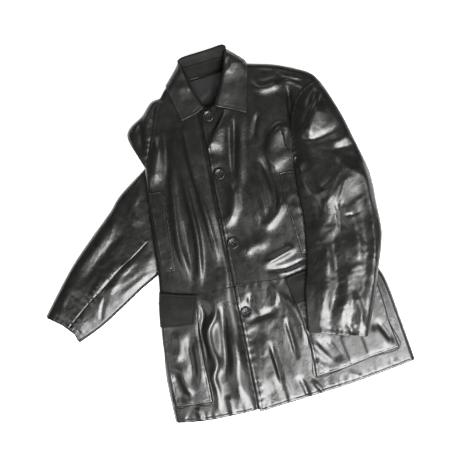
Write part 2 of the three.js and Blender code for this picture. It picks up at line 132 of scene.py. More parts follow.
def nearest(xy, line):
    """For each point: its distance to a line, its side of it (+1 left), and how far along, from 0 to 1."""
    start, end = line[:-1], line[1:]
    step = end - start
    length = np.linalg.norm(step, axis=1)
    before = np.concatenate([[0], np.cumsum(length)])[:-1]
    best = np.full(len(xy), np.inf)
    side = np.zeros(len(xy))
    along = np.zeros(len(xy))
    for a, s, size, walked in zip(start, step, length, before):
        if size < 1e-6:
            continue
        offset = xy - a
        t = np.clip(offset @ s / size**2, 0, 1)
        gap = offset - t[:, None] * s
        distance = np.hypot(gap[:, 0], gap[:, 1])
        closer = distance < best - 1e-9
        best[closer] = distance[closer]
        side[closer] = np.sign(s[0] * offset[closer, 1] - s[1] * offset[closer, 0])
        along[closer] = walked + t[closer] * size
    return best, side, along / max(length.sum(), 1e-6)


def inside(xy, loop):
    x, y = xy[:, 0], xy[:, 1]
    odd = np.zeros(len(xy), bool)
    for (x1, y1), (x2, y2) in zip(loop, np.roll(loop, -1, axis=0)):
        crosses = (y1 > y) != (y2 > y)
        with np.errstate(divide="ignore", invalid="ignore"):
            odd ^= crosses & (x < (x2 - x1) * (y - y1) / (y2 - y1) + x1)
    return odd


def offset_line(line, distance):
    """A line moved to its left by distance."""
    along = np.gradient(line, axis=0)
    along /= np.maximum(np.linalg.norm(along, axis=1), 1e-9)[:, None]
    return line + distance * np.stack([-along[:, 1], along[:, 0]], axis=1)


# ---- Wrinkles and folds ------------------------------------------------------------------------------
def noise(xy, scale, seed):
    """Smooth noise between about -1 and 1, with features of about scale millimetres."""
    rng = np.random.default_rng(seed)
    size = 64
    angle = rng.random((size, size)) * 2 * math.pi
    gx, gy = np.cos(angle), np.sin(angle)
    p = xy / scale + 1000
    cell = np.floor(p).astype(int)
    f = p - cell
    u = f * f * f * (f * (f * 6 - 15) + 10)
    total = 0
    for i in (0, 1):
        for j in (0, 1):
            cx, cy = (cell[:, 0] + i) % size, (cell[:, 1] + j) % size
            dot = gx[cx, cy] * (f[:, 0] - i) + gy[cx, cy] * (f[:, 1] - j)
            weight = (u[:, 0] if i else 1 - u[:, 0]) * (u[:, 1] if j else 1 - u[:, 1])
            total = total + weight * dot
    return total * 1.5


def crumple(xy, scale, seed, stretch=1.0, angle=0.0):
    """Creased leather: narrow ridges between soft hollows, longer along angle when stretch is over 1."""
    c, s = math.cos(angle), math.sin(angle)
    turned = np.stack([(xy[:, 0] * c + xy[:, 1] * s) / stretch, -xy[:, 0] * s + xy[:, 1] * c], axis=1)
    warp = np.stack([noise(turned, scale * 1.7, seed + 7), noise(turned, scale * 1.7, seed + 8)], axis=1)
    warped = turned + warp * scale * 0.6
    total = 0
    for octave in range(3):
        size = scale / 2**octave
        if size < FINEST_CREASE:
            break
        crest = np.sqrt(noise(warped, size, seed + octave) ** 2 + 0.006)
        total = total + (0.35 - crest) / 1.9**octave
    return total


def ridge(height, width, *points, fade=0.3):
    return {"kind": "ridge", "height": height, "width": width, "line": smooth(points, 6), "fade": fade}


def tuck(height, width, reach, *points, fade=0.25):
    """A fold that stands up steeply on the left of its line and sinks again over reach."""
    line = smooth(points, 6)
    return {"kind": "tuck", "height": height, "width": width, "reach": reach, "line": line, "fade": fade}


def crest(height, rise, reach, *points, fade=0.25):
    """A sharp crest: it climbs ever more steeply on the right of its line and sinks slowly on the left."""
    line = smooth(points, 6)
    return {"kind": "crest", "height": height, "width": rise, "reach": max(rise, reach), "line": line,
            "fall": reach, "fade": fade}


def pucker(height, width, wave, *points):
    """Small gathers across a stitched line."""
    return {"kind": "pucker", "height": height, "width": width, "wave": wave, "line": smooth(points, 4)}


def groove(depth, width, *points):
    """A stitched seam: a narrow valley that doesn't fade at its ends."""
    return {"kind": "ridge", "height": -depth, "width": width, "line": smooth(points, 3), "fade": 0.001}


def fold_height(xy, folds):
    z = np.zeros(len(xy))
    for number, fold in enumerate(folds):
        line = fold["line"]
        reach = fold.get("reach", fold["width"]) * 3 + 8
        near = np.all((xy > line.min(0) - reach) & (xy < line.max(0) + reach), axis=1)
        if not near.any():
            continue
        points = xy[near]
        distance, side, along = nearest(points, line)
        if fold["kind"] == "pucker":
            length = np.linalg.norm(np.diff(line, axis=0), axis=1).sum()
            place = along * length + 4 * noise(points, 18, number)
            wave = np.sin(2 * math.pi * place / fold["wave"]) * (0.6 + 0.8 * noise(points, 30, number + 5))
            z[near] += fold["height"] * wave * np.exp(-((distance / fold["width"]) ** 2))
            continue
        end = np.clip(np.minimum(along, 1 - along) / fold["fade"], 0, 1)
        envelope = fold["height"] * end * end * (3 - 2 * end)
        if fold["kind"] == "ridge":
            z[near] += envelope * np.exp(-((distance / fold["width"]) ** 2))
        elif fold["kind"] == "crest":
            climb = np.exp(-(np.sqrt(distance**2 + 0.6) - 0.77) / fold["width"])
            z[near] += envelope * np.where(side < 0, climb, np.exp(-((distance / fold["fall"]) ** 2)))
        else:
            signed = distance * side
            rise = 0.5 + 0.5 * np.tanh(signed / fold["width"])
            z[near] += envelope * rise * np.exp(-((np.maximum(signed, 0) / fold["reach"]) ** 2))
    return z


def roll(distance, across, down):
    """How far an edge has rolled down at a distance in from it: a quarter ellipse."""
    share = np.clip(1 - distance / across, 0, 1)
    return down * (1 - np.sqrt(1 - share**2))


# ---- Meshes ------------------------------------------------------------------------------------------
def make_object(name, points, faces, material):
    mesh = bpy.data.meshes.new(name)
    mesh.from_pydata([tuple(p) for p in np.asarray(points) * MM], [], [tuple(f) for f in faces])
    mesh.validate()
    mesh.update()
    mesh.polygons.foreach_set("use_smooth", [True] * len(mesh.polygons))
    mesh.materials.append(material)
    thing = bpy.data.objects.new(name, mesh)
    bpy.context.scene.collection.objects.link(thing)
    return thing


def normals_of(points, faces):
    a, b, c = (points[faces[:, i]] for i in range(3))
    face_normals = np.cross(b - a, c - a)
    normals = np.zeros_like(points)
    for i in range(3):
        np.add.at(normals, faces[:, i], face_normals)
    return normals / np.maximum(np.linalg.norm(normals, axis=1), 1e-12)[:, None]


def with_rim(faces, count):
    """Faces of a shell whose under side has the same points again, count further on."""
    edges = np.vstack([faces[:, [0, 1]], faces[:, [1, 2]], faces[:, [2, 0]]])
    present = {(a, b) for a, b in edges.tolist()}
    rim = [(a, b) for a, b in present if (b, a) not in present]
    walls = [(b, a, a + count, b + count) for a, b in sorted(rim)]
    return faces.tolist() + (faces[:, ::-1] + count).tolist() + walls


def thicken(name, points, faces, thickness, material):
    """A closed shell: the given surface, a copy behind it, and a rim between their borders."""
    under = points - normals_of(points, faces) * thickness
    return make_object(name, np.vstack([points, under]), with_rim(faces, len(points)), material)


def upward(flat, faces):
    """The faces with their corners in the order that makes them face up."""
    a, b, c = (flat[faces[:, i]] for i in range(3))
    turn = (b[:, 0] - a[:, 0]) * (c[:, 1] - a[:, 1]) - (b[:, 1] - a[:, 1]) * (c[:, 0] - a[:, 0])
    faces[turn < 0] = faces[turn < 0][:, ::-1]
    return faces


def apart(candidates, accepted, gap):
    """The candidates that are at least gap from every accepted point and from each other."""
    if not len(candidates):
        return candidates
    tree = kdtree.KDTree(len(accepted))
    for i, p in enumerate(accepted):
        tree.insert((p[0], p[1], 0), i)
    tree.balance()
    taken = {}
    kept = []
    for p in candidates:
        if tree.find((p[0], p[1], 0))[2] < gap:
            continue
        cell = (int(p[0] // gap), int(p[1] // gap))
        around = [taken.get((cell[0] + i, cell[1] + j)) for i in (-1, 0, 1) for j in (-1, 0, 1)]
        if any(q is not None and (q[0] - p[0]) ** 2 + (q[1] - p[1]) ** 2 < gap * gap for q in around):
            continue
        taken[cell] = p
        kept.append(p)
    return np.array(kept).reshape(-1, 2)


def fill(loop, step, insets, seams):
    """Points and triangles that fill an outline, closer together at its edge and along its seams."""
    points = loop
    closed = closed_up(loop)
    for inset in insets:
        ring = offset_line(closed, inset)[:-1]
        distance = nearest(ring, closed)[0]
        ring = ring[(distance > inset * 0.85) & inside(ring, loop)]
        points = np.vstack([points, apart(ring, points, inset * 0.6 if inset < 1 else 0.7)])
    for seam in seams:
        rows = np.vstack([offset_line(seam, shift) for shift in (0, -1.3, 1.3, -2.8, 2.8)])
        rows = rows[inside(rows, loop)]
        rows = rows[nearest(rows, closed)[0] > 1.0]
        points = np.vstack([points, apart(rows, points, 1.0)])
    (x0, y0), (x1, y1) = loop.min(0), loop.max(0)
    row = step * math.sqrt(3) / 2
    grid = [
        (x + (j % 2) * step / 2, y)
        for j, y in enumerate(np.arange(y0, y1, row))
        for x in np.arange(x0, x1, step)
    ]
    grid = np.array(grid)
    grid = grid[inside(grid, loop)]
    grid = grid[nearest(grid, closed)[0] > (insets[-1] if insets else 0) + step * 0.4]
    points = np.vstack([points, apart(grid, points, step * 0.55)])
    border = list(range(len(loop)))
    filled = geometry.delaunay_2d_cdt([Vector(p) for p in points], [], [border], 1, 1e-5)
    flat = np.array([(v.x, v.y) for v in filled[0]])
    faces = np.array([f for f in filled[2] if len(f) == 3])
    faces = upward(flat, faces)
    used = np.unique(faces)
    renumber = np.zeros(len(flat), int)
    renumber[used] = np.arange(len(used))
    return flat[used], renumber[faces]


EDGE_ROWS = (0.25, 0.8, 1.7, 3.0)
SIDE_ROWS = (0.2, 0.7, 1.6, 2.9, 4.6, 7.0, 10.0)


def panel(name, body, nodes, loop, height, material, slot, thickness=LEATHER, step=GRID,
          rows=EDGE_ROWS, seams=(), held="laid", rests_on=()):
    """A leather or cloth piece over an outline, in place of its CAD nodes. Gives its height function."""
    xy, faces = fill(loop, step, rows, seams)
    closed = closed_up(loop)
    distance = nearest(xy, closed)[0]
    z = height(xy, distance)
    piece = thicken(name, np.column_stack([xy, z]), faces, thickness, material)
    finish_piece(piece, body, nodes)
    return lambda points: height(points, nearest(points, closed)[0])


def finish_piece(piece, body, nodes):
    if body:
        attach(piece, body)
    if nodes:
        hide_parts(*nodes)


def loft(name, body, nodes, lines, thickness, material):
    """A shell over lines of equally many 3-D points."""
    grid = np.array(lines)
    rows, columns = grid.shape[:2]
    index = np.arange(rows * columns).reshape(rows, columns)
    a, b = index[:-1, :-1].ravel(), index[:-1, 1:].ravel()
    c, d = index[1:, 1:].ravel(), index[1:, :-1].ravel()
    faces = np.vstack([np.stack([a, b, c], axis=1), np.stack([a, c, d], axis=1)])
    points = grid.reshape(-1, 3)
    piece = thicken(name, points, faces, thickness, material)
    finish_piece(piece, body, nodes)
    return piece


# ---- Materials ---------------------------------------------------------------------------------------
def new_material(name):
    material = bpy.data.materials.new(name)
    material.use_nodes = True
    tree = material.node_tree
    return material, tree, tree.nodes["Principled BSDF"]


def add_node(tree, kind, **values):
    node = tree.nodes.new(kind)
    for key, value in values.items():
        if key in node.inputs:
            node.inputs[key].default_value = value
        else:
            setattr(node, key, value)
    return node


def ramp(tree, source, stops):
    node = tree.nodes.new("ShaderNodeValToRGB")
    elements = node.color_ramp.elements
    while len(elements) < len(stops):
        elements.new(0.5)
    for element, (place, color) in zip(elements, stops):
        element.position = place
        element.color = (*color, 1) if len(color) == 3 else color
    tree.links.new(source, node.inputs["Fac"])
    return node


def grey(v):
    return (v, v, v)


def leather(name, color, roughness, coat, grain=0.35, gloss=0.5):
    """Pebbled grain, fine creases, and a finish that varies from polished to rubbed."""
    material, tree, shader = new_material(name)
    place = tree.nodes.new("ShaderNodeTexCoord").outputs["Object"]
    pebbles = add_node(tree, "ShaderNodeTexVoronoi", Scale=900.0, feature="SMOOTH_F1")
    creases = add_node(tree, "ShaderNodeTexNoise", Scale=140.0, Detail=3.0, Roughness=0.5)
    clouds = add_node(tree, "ShaderNodeTexNoise", Scale=22.0, Detail=4.0, Roughness=0.55)
    rub = add_node(tree, "ShaderNodeTexNoise", Scale=55.0, Detail=5.0, Roughness=0.6)
    for texture in (pebbles, creases, clouds, rub):
        tree.links.new(place, texture.inputs["Vector"])
    worn = tree.nodes.new("ShaderNodeNewGeometry").outputs["Pointiness"]
    dark, light = (tuple(c * k for c in color) for k in (0.7, 1.35))
    tint = ramp(tree, clouds.outputs["Fac"], [(0.35, dark), (0.65, light)])
    edge = ramp(tree, worn, [(0.53, grey(0)), (0.62, grey(0.5))])
    mix = add_node(tree, "ShaderNodeMixRGB", blend_type="MIX")
    mix.inputs["Color2"].default_value = (*[c * 2.6 for c in color], 1)
    tree.links.new(edge.outputs["Color"], mix.inputs["Fac"])
    tree.links.new(tint.outputs["Color"], mix.inputs["Color1"])
    tree.links.new(mix.outputs["Color"], shader.inputs["Base Color"])
    finish = ramp(tree, rub.outputs["Fac"], [(0.3, grey(roughness - 0.07)), (0.7, grey(roughness + 0.09))])
    tree.links.new(finish.outputs["Color"], shader.inputs["Roughness"])
    fine = add_node(tree, "ShaderNodeBump", Strength=grain, Distance=0.0003)
    broad = add_node(tree, "ShaderNodeBump", Strength=0.4, Distance=0.0009)
    tree.links.new(creases.outputs["Fac"], broad.inputs["Height"])
    tree.links.new(pebbles.outputs["Distance"], fine.inputs["Height"])
    tree.links.new(broad.outputs["Normal"], fine.inputs["Normal"])
    tree.links.new(fine.outputs["Normal"], shader.inputs["Normal"])
    shader.inputs["Coat Weight"].default_value = coat
    shader.inputs["Coat Roughness"].default_value = 0.18
    shader.inputs["Specular IOR Level"].default_value = gloss
    return material


def cloth(name, color, roughness, threads, sheen):
    """A fine twill: crossed waves for the threads, with a little sheen."""
    material, tree, shader = new_material(name)
    place = tree.nodes.new("ShaderNodeTexCoord").outputs["Object"]
    waves = []
    for direction in ("X", "Y"):
        wave = add_node(tree, "ShaderNodeTexWave", Scale=threads, Distortion=0.6, bands_direction=direction)
        tree.links.new(place, wave.inputs["Vector"])
        waves.append(wave)
    weave = add_node(tree, "ShaderNodeMath", operation="MULTIPLY")
    for i, wave in enumerate(waves):
        tree.links.new(wave.outputs["Fac"], weave.inputs[i])
    dark, light = (tuple(c * k for c in color) for k in (0.7, 1.3))
    tint = ramp(tree, weave.outputs["Value"], [(0.0, dark), (1.0, light)])
    tree.links.new(tint.outputs["Color"], shader.inputs["Base Color"])
    bump = add_node(tree, "ShaderNodeBump", Strength=0.3, Distance=0.0002)
    tree.links.new(weave.outputs["Value"], bump.inputs["Height"])
    tree.links.new(bump.outputs["Normal"], shader.inputs["Normal"])
    shader.inputs["Roughness"].default_value = roughness
    shader.inputs["Sheen Weight"].default_value = sheen
    return material


def resin(name, color, roughness):
    """Polished button resin with faint marbling and scuffs."""
    material, tree, shader = new_material(name)
    place = tree.nodes.new("ShaderNodeTexCoord").outputs["Object"]
    marble = add_node(tree, "ShaderNodeTexNoise", Scale=260.0, Detail=4.0, Distortion=1.5)
    scuffs = add_node(tree, "ShaderNodeTexNoise", Scale=900.0, Detail=3.0)
    for texture in (marble, scuffs):
        tree.links.new(place, texture.inputs["Vector"])
    tint = ramp(tree, marble.outputs["Fac"], [(0.4, color), (0.75, tuple(c * 2.5 for c in color))])
    tree.links.new(tint.outputs["Color"], shader.inputs["Base Color"])
    finish = ramp(tree, scuffs.outputs["Fac"], [(0.3, grey(roughness)), (0.8, grey(roughness + 0.2))])
    tree.links.new(finish.outputs["Color"], shader.inputs["Roughness"])
    return material


SHELL = leather("polished_black_leather", (0.0065, 0.0066, 0.0056), 0.32, 0.2)
DULL = leather("matte_black_leather", (0.008, 0.008, 0.007), 0.62, 0.0, grain=0.5, gloss=0.15)
COLLAR_LEATHER = leather("satin_black_leather", (0.009, 0.009, 0.008), 0.42, 0.1, grain=0.45)
LINING_CLOTH = cloth("black_satin_lining", (0.012, 0.012, 0.013), 0.42, 1500.0, 0.3)
WADDING = cloth("grey_felt_wadding", (0.2, 0.2, 0.21), 0.95, 500.0, 0.5)
RESIN = resin("black_button_resin", (0.010, 0.010, 0.010), 0.12)
THREAD = cloth("black_thread", (0.006, 0.006, 0.006), 0.95, 2500.0, 0.0)
THREAD.node_tree.nodes["Principled BSDF"].inputs["Specular IOR Level"].default_value = 0.2

# ---- Outlines of the coat, from above ----------------------------------------------------------------
UNDERLAP_X = 76  # the right front's edge, under the left front
FRONT_EDGE = [(29, 268), (28, 190), (29, 60), (30, -122)]
FRONT_EDGE_SKIRT = [(30, -122), (31, -260), (33, -404)]
LEFT_NECKLINE = [(120, 366), (92, 318), (58, 276), (29, 268)]
LEFT_SHOULDER = [(302, 291), (289, 307), (264, 322), (212, 343), (152, 357), (120, 366)]
LEFT_ARMHOLE = [(262, 70), (236, 112), (232, 170), (244, 230), (272, 264), (302, 291)]
LEFT_SIDE = [(340, -120), (302, -30), (262, 70)]
LEFT_WAIST = [(30, -122), (70, -119), (146, -123), (240, -117), (340, -120)]
LEFT_SKIRT_SIDE = [(340, -120), (362, -170), (377, -256), (392, -356)]
LEFT_HEM = [(392, -356), (331, -367), (230, -383), (101, -397), (33, -404)]
RIGHT_SIDE = [(-113, 171), (-117, 134), (-126, -10), (-131, -80), (-137, -120)]
RIGHT_ARMHOLE = [(-51, 318), (-67, 292), (-82, 250), (-97, 208), (-113, 171)]
RIGHT_SHOULDER = [(0, 350), (-33, 338), (-51, 318)]
RIGHT_NECKLINE = [(UNDERLAP_X, 262), (40, 276), (16, 306), (0, 350)]
RIGHT_WAIST = [(-137, -120), (-54, -122), (20, -121), (UNDERLAP_X, -121)]
RIGHT_SKIRT_SIDE = [(-137, -120), (-146, -219), (-154, -300), (-152, -394)]
RIGHT_HEM = [(-152, -394), (-88, -401), (-20, -401), (UNDERLAP_X, -398)]
CAP_OUTER = [(-51, 318), (-74, 313), (-99, 287), (-128, 268), (-140, 245), (-126, 203), (-113, 171)]
TUCK_LINE = [(-137, -128), (-80, -66), (-68, 67), (-52, 190), (-45, 300)]
LEFT_SIDE_DOWN = [*LEFT_SIDE[::-1], *LEFT_SKIRT_SIDE[1:]]
RIGHT_SIDE_UP = [*RIGHT_SKIRT_SIDE[:0:-1], TUCK_LINE[0]]
WAIST_Y = -120
TUCK_START = TUCK_LINE[0][1] + 2  # above this the right side turns in under the front
CENTRE_BACK = 55
NECK_FACING_LOW = [(4, 346), (32, 347), (60, 351), (92, 358), (112, 360)]
LEFT_WELT_LINE = [(189, 106), (194, 20), (197, -78)]
RIGHT_WELT_LINE = [(-98, 115), (-101, 25), (-104, -62)]
FRONT_STITCH = [(36, 262), (35.5, 60), (37, -118)]
SKIRT_STITCH = [(37, -124), (38, -260), (40, -398)]
LEFT_HEM_STITCH = [(388, -349), (331, -360), (230, -375), (101, -389), (40, -396)]
RIGHT_HEM_STITCH = [(-150, -386), (-88, -392), (-20, -393), (28, -392)]
ARMHOLE_STITCH = [(-46, 312), (-61, 288), (-76, 248), (-91, 206), (-107, 170)]
LEFT_SLEEVE_OUTER = [(302, 290), (317, 251), (335, 203), (350, 150), (362, 104), (371, 60), (372, 0),
                     (371, -60), (360, -105), (345, -147), (320, -220), (296, -283)]
LEFT_CUFF = [(296, -283), (238, -268), (171, -249)]
LEFT_SLEEVE_INNER = [(171, -249), (182, -160), (196, -110), (205, -52), (210, 14), (209, 80), (212, 130)]
LEFT_ARM_SEAM = [(212, 130), (215, 165), (221, 203), (232, 240), (252, 268), (278, 284), (302, 290)]
RIGHT_SLEEVE_OUTER = [(-86, 196), (-113, 171), (-178, 123), (-207, 91), (-262, 39), (-318, -18),
                      (-392, -111)]
RIGHT_CUFF = [(-392, -111), (-369, -128), (-343, -149), (-331, -179)]
RIGHT_SLEEVE_INNER = [(-331, -179), (-277, -154), (-226, -123), (-175, -90), (-128, -62), (-92, -30),
                      (-84, 60), (-86, 196)]
RIGHT_SLEEVE_SEAM = [(-100, 44), (-140, 12), (-178, -16), (-212, -38), (-256, -72), (-292, -98),
                     (-350, -146)]
LEFT_SLEEVE_SEAM = [(338, 170), (356, 118), (361, 60), (360, 6), (357, -40), (350, -92), (340, -145),
                    (318, -205), (290, -281)]

# ---- Folds of the coat's body ------------------------------------------------------------------------
BODY_FOLDS = [
    # right chest
    tuck(3.4, 3, 24, (-16, 262), (-18, 220), (-18, 172), (-14, 124), (-8, 76), (-2, 28), (-4, -14)),
    ridge(4.0, 14, (-66, 240), (-80, 200), (-94, 164), (-104, 120)),
    ridge(-2.2, 8, (-56, 250), (-60, 208), (-66, 160), (-78, 112)),
    ridge(3.6, 8, (-54, 170), (-62, 118), (-68, 64), (-72, -6), (-66, -66), (-66, -112)),
    ridge(4.2, 7, (-38, 160), (-32, 80), (-29, 0), (-36, -68), (-48, -120)),
    ridge(3.0, 8, (-10, 110), (-2, 40), (5, -22), (4, -80)),
    ridge(-1.6, 6, (-48, 60), (-52, -20), (-52, -90)),
    # left chest
    ridge(-2.4, 5.5, (104, 262), (93, 200), (81, 136), (75, 92)),
    ridge(1.4, 7, (92, 256), (80, 195), (68, 130)),
    ridge(1.6, 8, (117, 252), (106, 196), (94, 130), (87, 84)),
    ridge(3.4, 12, (74, 112), (62, 52), (38, 4)),
    ridge(1.8, 6, (96, 96), (106, 50), (112, -6)),
    ridge(1.8, 6, (118, 112), (127, 60), (126, 4)),
    ridge(-3.2, 8, (138, 156), (151, 108), (157, 60), (146, 10)),
    tuck(4.5, 6, 34, (226, 196), (206, 208), (188, 206), (165, 186), (154, 154), (163, 120), (178, 96)),
    ridge(2.6, 12, (176, 56), (148, 14), (112, -14)),
    tuck(5.5, 2.2, 34, (92, 282), (82, 264), (64, 238), (42, 208), (25, 178)),
    # left shoulder
    ridge(3.6, 12, (138, 326), (160, 300), (190, 296), (226, 308)),
    ridge(-4, 6, (232, 300), (228, 256), (224, 218), (221, 180)),
    ridge(1.5, 3, (206, 324), (238, 309), (268, 297)),
    ridge(1.5, 3, (222, 306), (246, 293), (262, 278)),
    ridge(-1.8, 5, (158, 250), (142, 214), (130, 176)),
    # waist on the left
    ridge(3.0, 8, (96, -88), (142, -74), (186, -60)),
    ridge(-1.3, 5, (98, -100), (150, -103), (204, -90)),
    ridge(0.8, 4, (116, -106), (150, -112), (202, -102)),
    ridge(2.0, 14, (60, -60), (90, -40), (130, -40)),
    # left skirt
    ridge(-1.8, 9, (30, -202), (74, -197), (118, -190)),
    ridge(2.2, 8, (112, -140), (142, -180), (158, -226), (160, -286)),
    ridge(-2.6, 5, (128, -206), (134, -262), (138, -312)),
    ridge(-2.4, 5, (84, -250), (90, -310), (96, -372)),
    ridge(-2.2, 6, (62, -140), (58, -170), (66, -200)),
    ridge(2.4, 20, (62, -232), (68, -300), (84, -366)),
    ridge(1.6, 7, (92, -330), (104, -368), (110, -404)),
    ridge(1.8, 5, (158, -354), (174, -378), (184, -400)),
    ridge(-1.6, 6, (132, -340), (142, -372), (146, -402)),
    ridge(1.4, 4, (116, -128), (117, -156), (110, -184)),
    ridge(1.5, 4, (240, -352), (262, -366), (280, -378)),
    ridge(1.8, 5, (344, -130), (356, -180), (368, -246), (382, -330)),
    ridge(-1.5, 4, (352, -140), (366, -200), (378, -270), (388, -340)),
    # right skirt
    ridge(3.6, 8, (-50, -124), (-28, -146), (-23, -174), (-44, -206), (-46, -244), (-40, -280), (-52, -310),
          (-50, -345), (-56, -400)),
    ridge(-3.2, 6, (-54, -130), (-48, -168), (-60, -206), (-58, -250), (-60, -300)),
    ridge(3.2, 13, (-6, -200), (6, -268), (-2, -324), (6, -392)),
    ridge(-3.6, 9, (-2, -140), (-10, -216), (-16, -268), (-26, -330)),
    ridge(1.8, 6, (-104, -366), (-98, -384), (-96, -402)),
    ridge(1.6, 6, (-30, -352), (-26, -378), (-24, -404)),
]
STITCHED = [
    pucker(0.12, 9, 17, (35, 170), (35, 20), (36, -118)),
    pucker(0.35, 12, 18, (37, -126), (38, -260), (40, -400)),
    pucker(0.6, 13, 19, (30, -134), (100, -133), (150, -136)),
    pucker(0.2, 9, 17, (-130, -114), (-54, -118), (28, -117)),
    pucker(0.6, 11, 17, (392, -350), (230, -376), (101, -390), (33, -397)),
    pucker(0.6, 11, 17, (-152, -388), (-88, -394), (-20, -394), (30, -392)),
    *[groove(0.6, 1.2, *line) for line in (FRONT_STITCH, SKIRT_STITCH, LEFT_HEM_STITCH, RIGHT_HEM_STITCH,
                                           ARMHOLE_STITCH)],
]
RELIEF = 1.8  # how much stronger the coat's front is creased than its folds are drawn
BUTTONS = [(46, y) for y in (257, 127, -28, -183)]
BUTTON_DIMPLE = 1.7
DIMPLE_RADIUS = 17
DEEPEST = -8.0  # no valley reaches the layers below


def near_buttons(xy):
    """1 on the coat's front, falling to 0 under each button, so that the leather lies flat there."""
    keep = np.ones(len(xy))
    for x, y in BUTTONS:
        distance = np.hypot(xy[:, 0] - x, xy[:, 1] - y)
        keep *= np.clip((distance - 9) / 16, 0, 1)
    return keep


def body_field(xy):
    """How far the coat's front stands above or below its flat layer, lower just beside the front edge."""
    dome = 1.6 * np.sin((xy[:, 1] + 420) / 190) + 2.4 * noise(xy, 120, 3)
    drape = 0.6 * noise(xy * (1.0, 0.35), 30, 11)
    drape = drape + 0.5 * crumple(xy, 62, 11, stretch=2.6, angle=math.radians(84))
    fine = crumple(xy, 19, 21, stretch=1.5, angle=math.radians(80))
    lively = 0.5 + 0.5 * np.clip(noise(xy, 90, 5) * 2 + 0.5, 0, 1)
    low_skirt = np.clip((-110 - xy[:, 1]) / 60, 0, 1)
    left_skirt = low_skirt * np.clip((xy[:, 0] - 20) / 20, 0, 1)
    free = dome + (1.2 + 0.8 * left_skirt) * drape + (0.14 + 0.46 * left_skirt) * lively * fine
    free = free + RELIEF * fold_height(xy, BODY_FOLDS)
    under_collar = np.clip((xy[:, 1] - 225) / 40, 0, 1) * np.clip((170 - xy[:, 0]) / 20, 0, 1)
    under_sleeve = np.clip((xy[:, 0] - 198) / 14, 0, 1) * np.clip((180 - xy[:, 1]) / 30, 0, 1)
    free = free * (1 - 0.75 * under_collar) * (1 - 0.7 * under_sleeve)
    edge_x = np.interp(xy[:, 1], (-404, -122, 268), (33, 30, 29))
    beside = edge_x - xy[:, 0]
    on_skirt = np.clip((-90 - xy[:, 1]) / 60, 0, 1)
    past_edge = np.maximum(beside - 1, 0) / (6 + 5 * on_skirt)
    under_edge = (4.8 + 2.6 * on_skirt) * np.exp(-(past_edge**2))
    lifted = (1.4 + 1.6 * on_skirt) * np.exp(-((beside / 18) ** 2)) * (beside <= -0.5)
    z = free * near_buttons(xy) + fold_height(xy, STITCHED) - under_edge * (beside > -0.5) + lifted
    for x, y in BUTTONS:
        from_button = np.hypot(xy[:, 0] - x, xy[:, 1] - y)
        z = z - BUTTON_DIMPLE * np.exp(-((from_button / DIMPLE_RADIUS) ** 2))
    return np.maximum(z, DEEPEST)


RIGHT_TOP = high("right_front_upper")
LEFT_TOP = high("left_front_upper")


# ---- Fronts ------------------------------------------------------------------------------------------
def seam(*points):
    return smooth(points, 2.2)


def body_height(top, *rolls, cut=None):
    """A height function for a front panel. Each roll is (edge, across, down), and a cut edge stays flat."""
    lines = [(smooth(edge), across, down) for edge, across, down in rolls]

    def height(xy, distance):
        from_cut = nearest(xy, smooth(cut))[0] if cut else np.full(len(xy), np.inf)
        z = top + body_field(xy) - roll(np.where(from_cut < distance + 0.5, np.inf, distance), 1.6, 1.0)
        for line, across, down in lines:
            z = z - roll(nearest(xy, line)[0], across, down)
        return z

    return height


def make_fronts():
    side = (12, 9.5)
    sewn = (1.8, 0.6)
    hem = (5, 2.2)
    right_upper = body_height(RIGHT_TOP, (RIGHT_SIDE, 11, 7.5), (RIGHT_SHOULDER, 16, 9),
                              (RIGHT_ARMHOLE, *sewn), cut=RIGHT_WAIST)
    right_lower = body_height(RIGHT_TOP, (RIGHT_SKIRT_SIDE, *side), (RIGHT_HEM, *hem), (RIGHT_WAIST, *sewn))
    left_upper = body_height(LEFT_TOP, (LEFT_SIDE, *side), (LEFT_SHOULDER, 20, 13), (LEFT_ARMHOLE, 14, 4),
                             cut=LEFT_WAIST)
    left_lower = body_height(LEFT_TOP, (LEFT_SKIRT_SIDE, *side), (LEFT_HEM, *hem), (LEFT_WAIST, *sewn))
    shell = dict(material=SHELL, slot="shell_leather", rows=SIDE_ROWS)
    underlap = [RIGHT_WAIST[-1], RIGHT_NECKLINE[0]]
    surfaces = {}
    surfaces["right_front"] = panel(
        "right_front", "torso", ["right_front_upper"],
        outline(RIGHT_WAIST, underlap, RIGHT_NECKLINE, RIGHT_SHOULDER, RIGHT_ARMHOLE, RIGHT_SIDE),
        right_upper, seams=[seam(*ARMHOLE_STITCH)], rests_on=["right_facing"], **shell)
    surfaces["right_skirt"] = panel(
        "right_skirt", "torso", ["right_front_skirt"],
        outline(RIGHT_SKIRT_SIDE, RIGHT_HEM, [RIGHT_HEM[-1], RIGHT_WAIST[-1]], RIGHT_WAIST[::-1]),
        right_lower, seams=[seam(*RIGHT_HEM_STITCH)], rests_on=["right_facing"], **shell)
    surfaces["left_front"] = panel(
        "left_front", "torso", ["left_front_upper"],
        outline(LEFT_WAIST, LEFT_SIDE, LEFT_ARMHOLE, LEFT_SHOULDER, LEFT_NECKLINE, FRONT_EDGE),
        left_upper, seams=[seam(*FRONT_STITCH)], rests_on=["right_front"], **shell)
    surfaces["left_skirt"] = panel(
        "left_skirt", "torso", ["left_front_skirt"],
        outline(LEFT_SKIRT_SIDE, LEFT_HEM, FRONT_EDGE_SKIRT[::-1], LEFT_WAIST),
        left_lower, seams=[seam(*SKIRT_STITCH), seam(*LEFT_HEM_STITCH)], rests_on=["right_skirt"], **shell)
    stitches("right_armhole_stitching", "torso", surfaces["right_front"], [ARMHOLE_STITCH])
    stitches("right_hem_stitching", "torso", surfaces["right_skirt"], [RIGHT_HEM_STITCH])
    stitches("front_edge_stitching", "torso", surfaces["left_front"], [FRONT_STITCH])
    stitches("skirt_edge_stitching", "torso", surfaces["left_skirt"], [SKIRT_STITCH, LEFT_HEM_STITCH])
    return surfaces


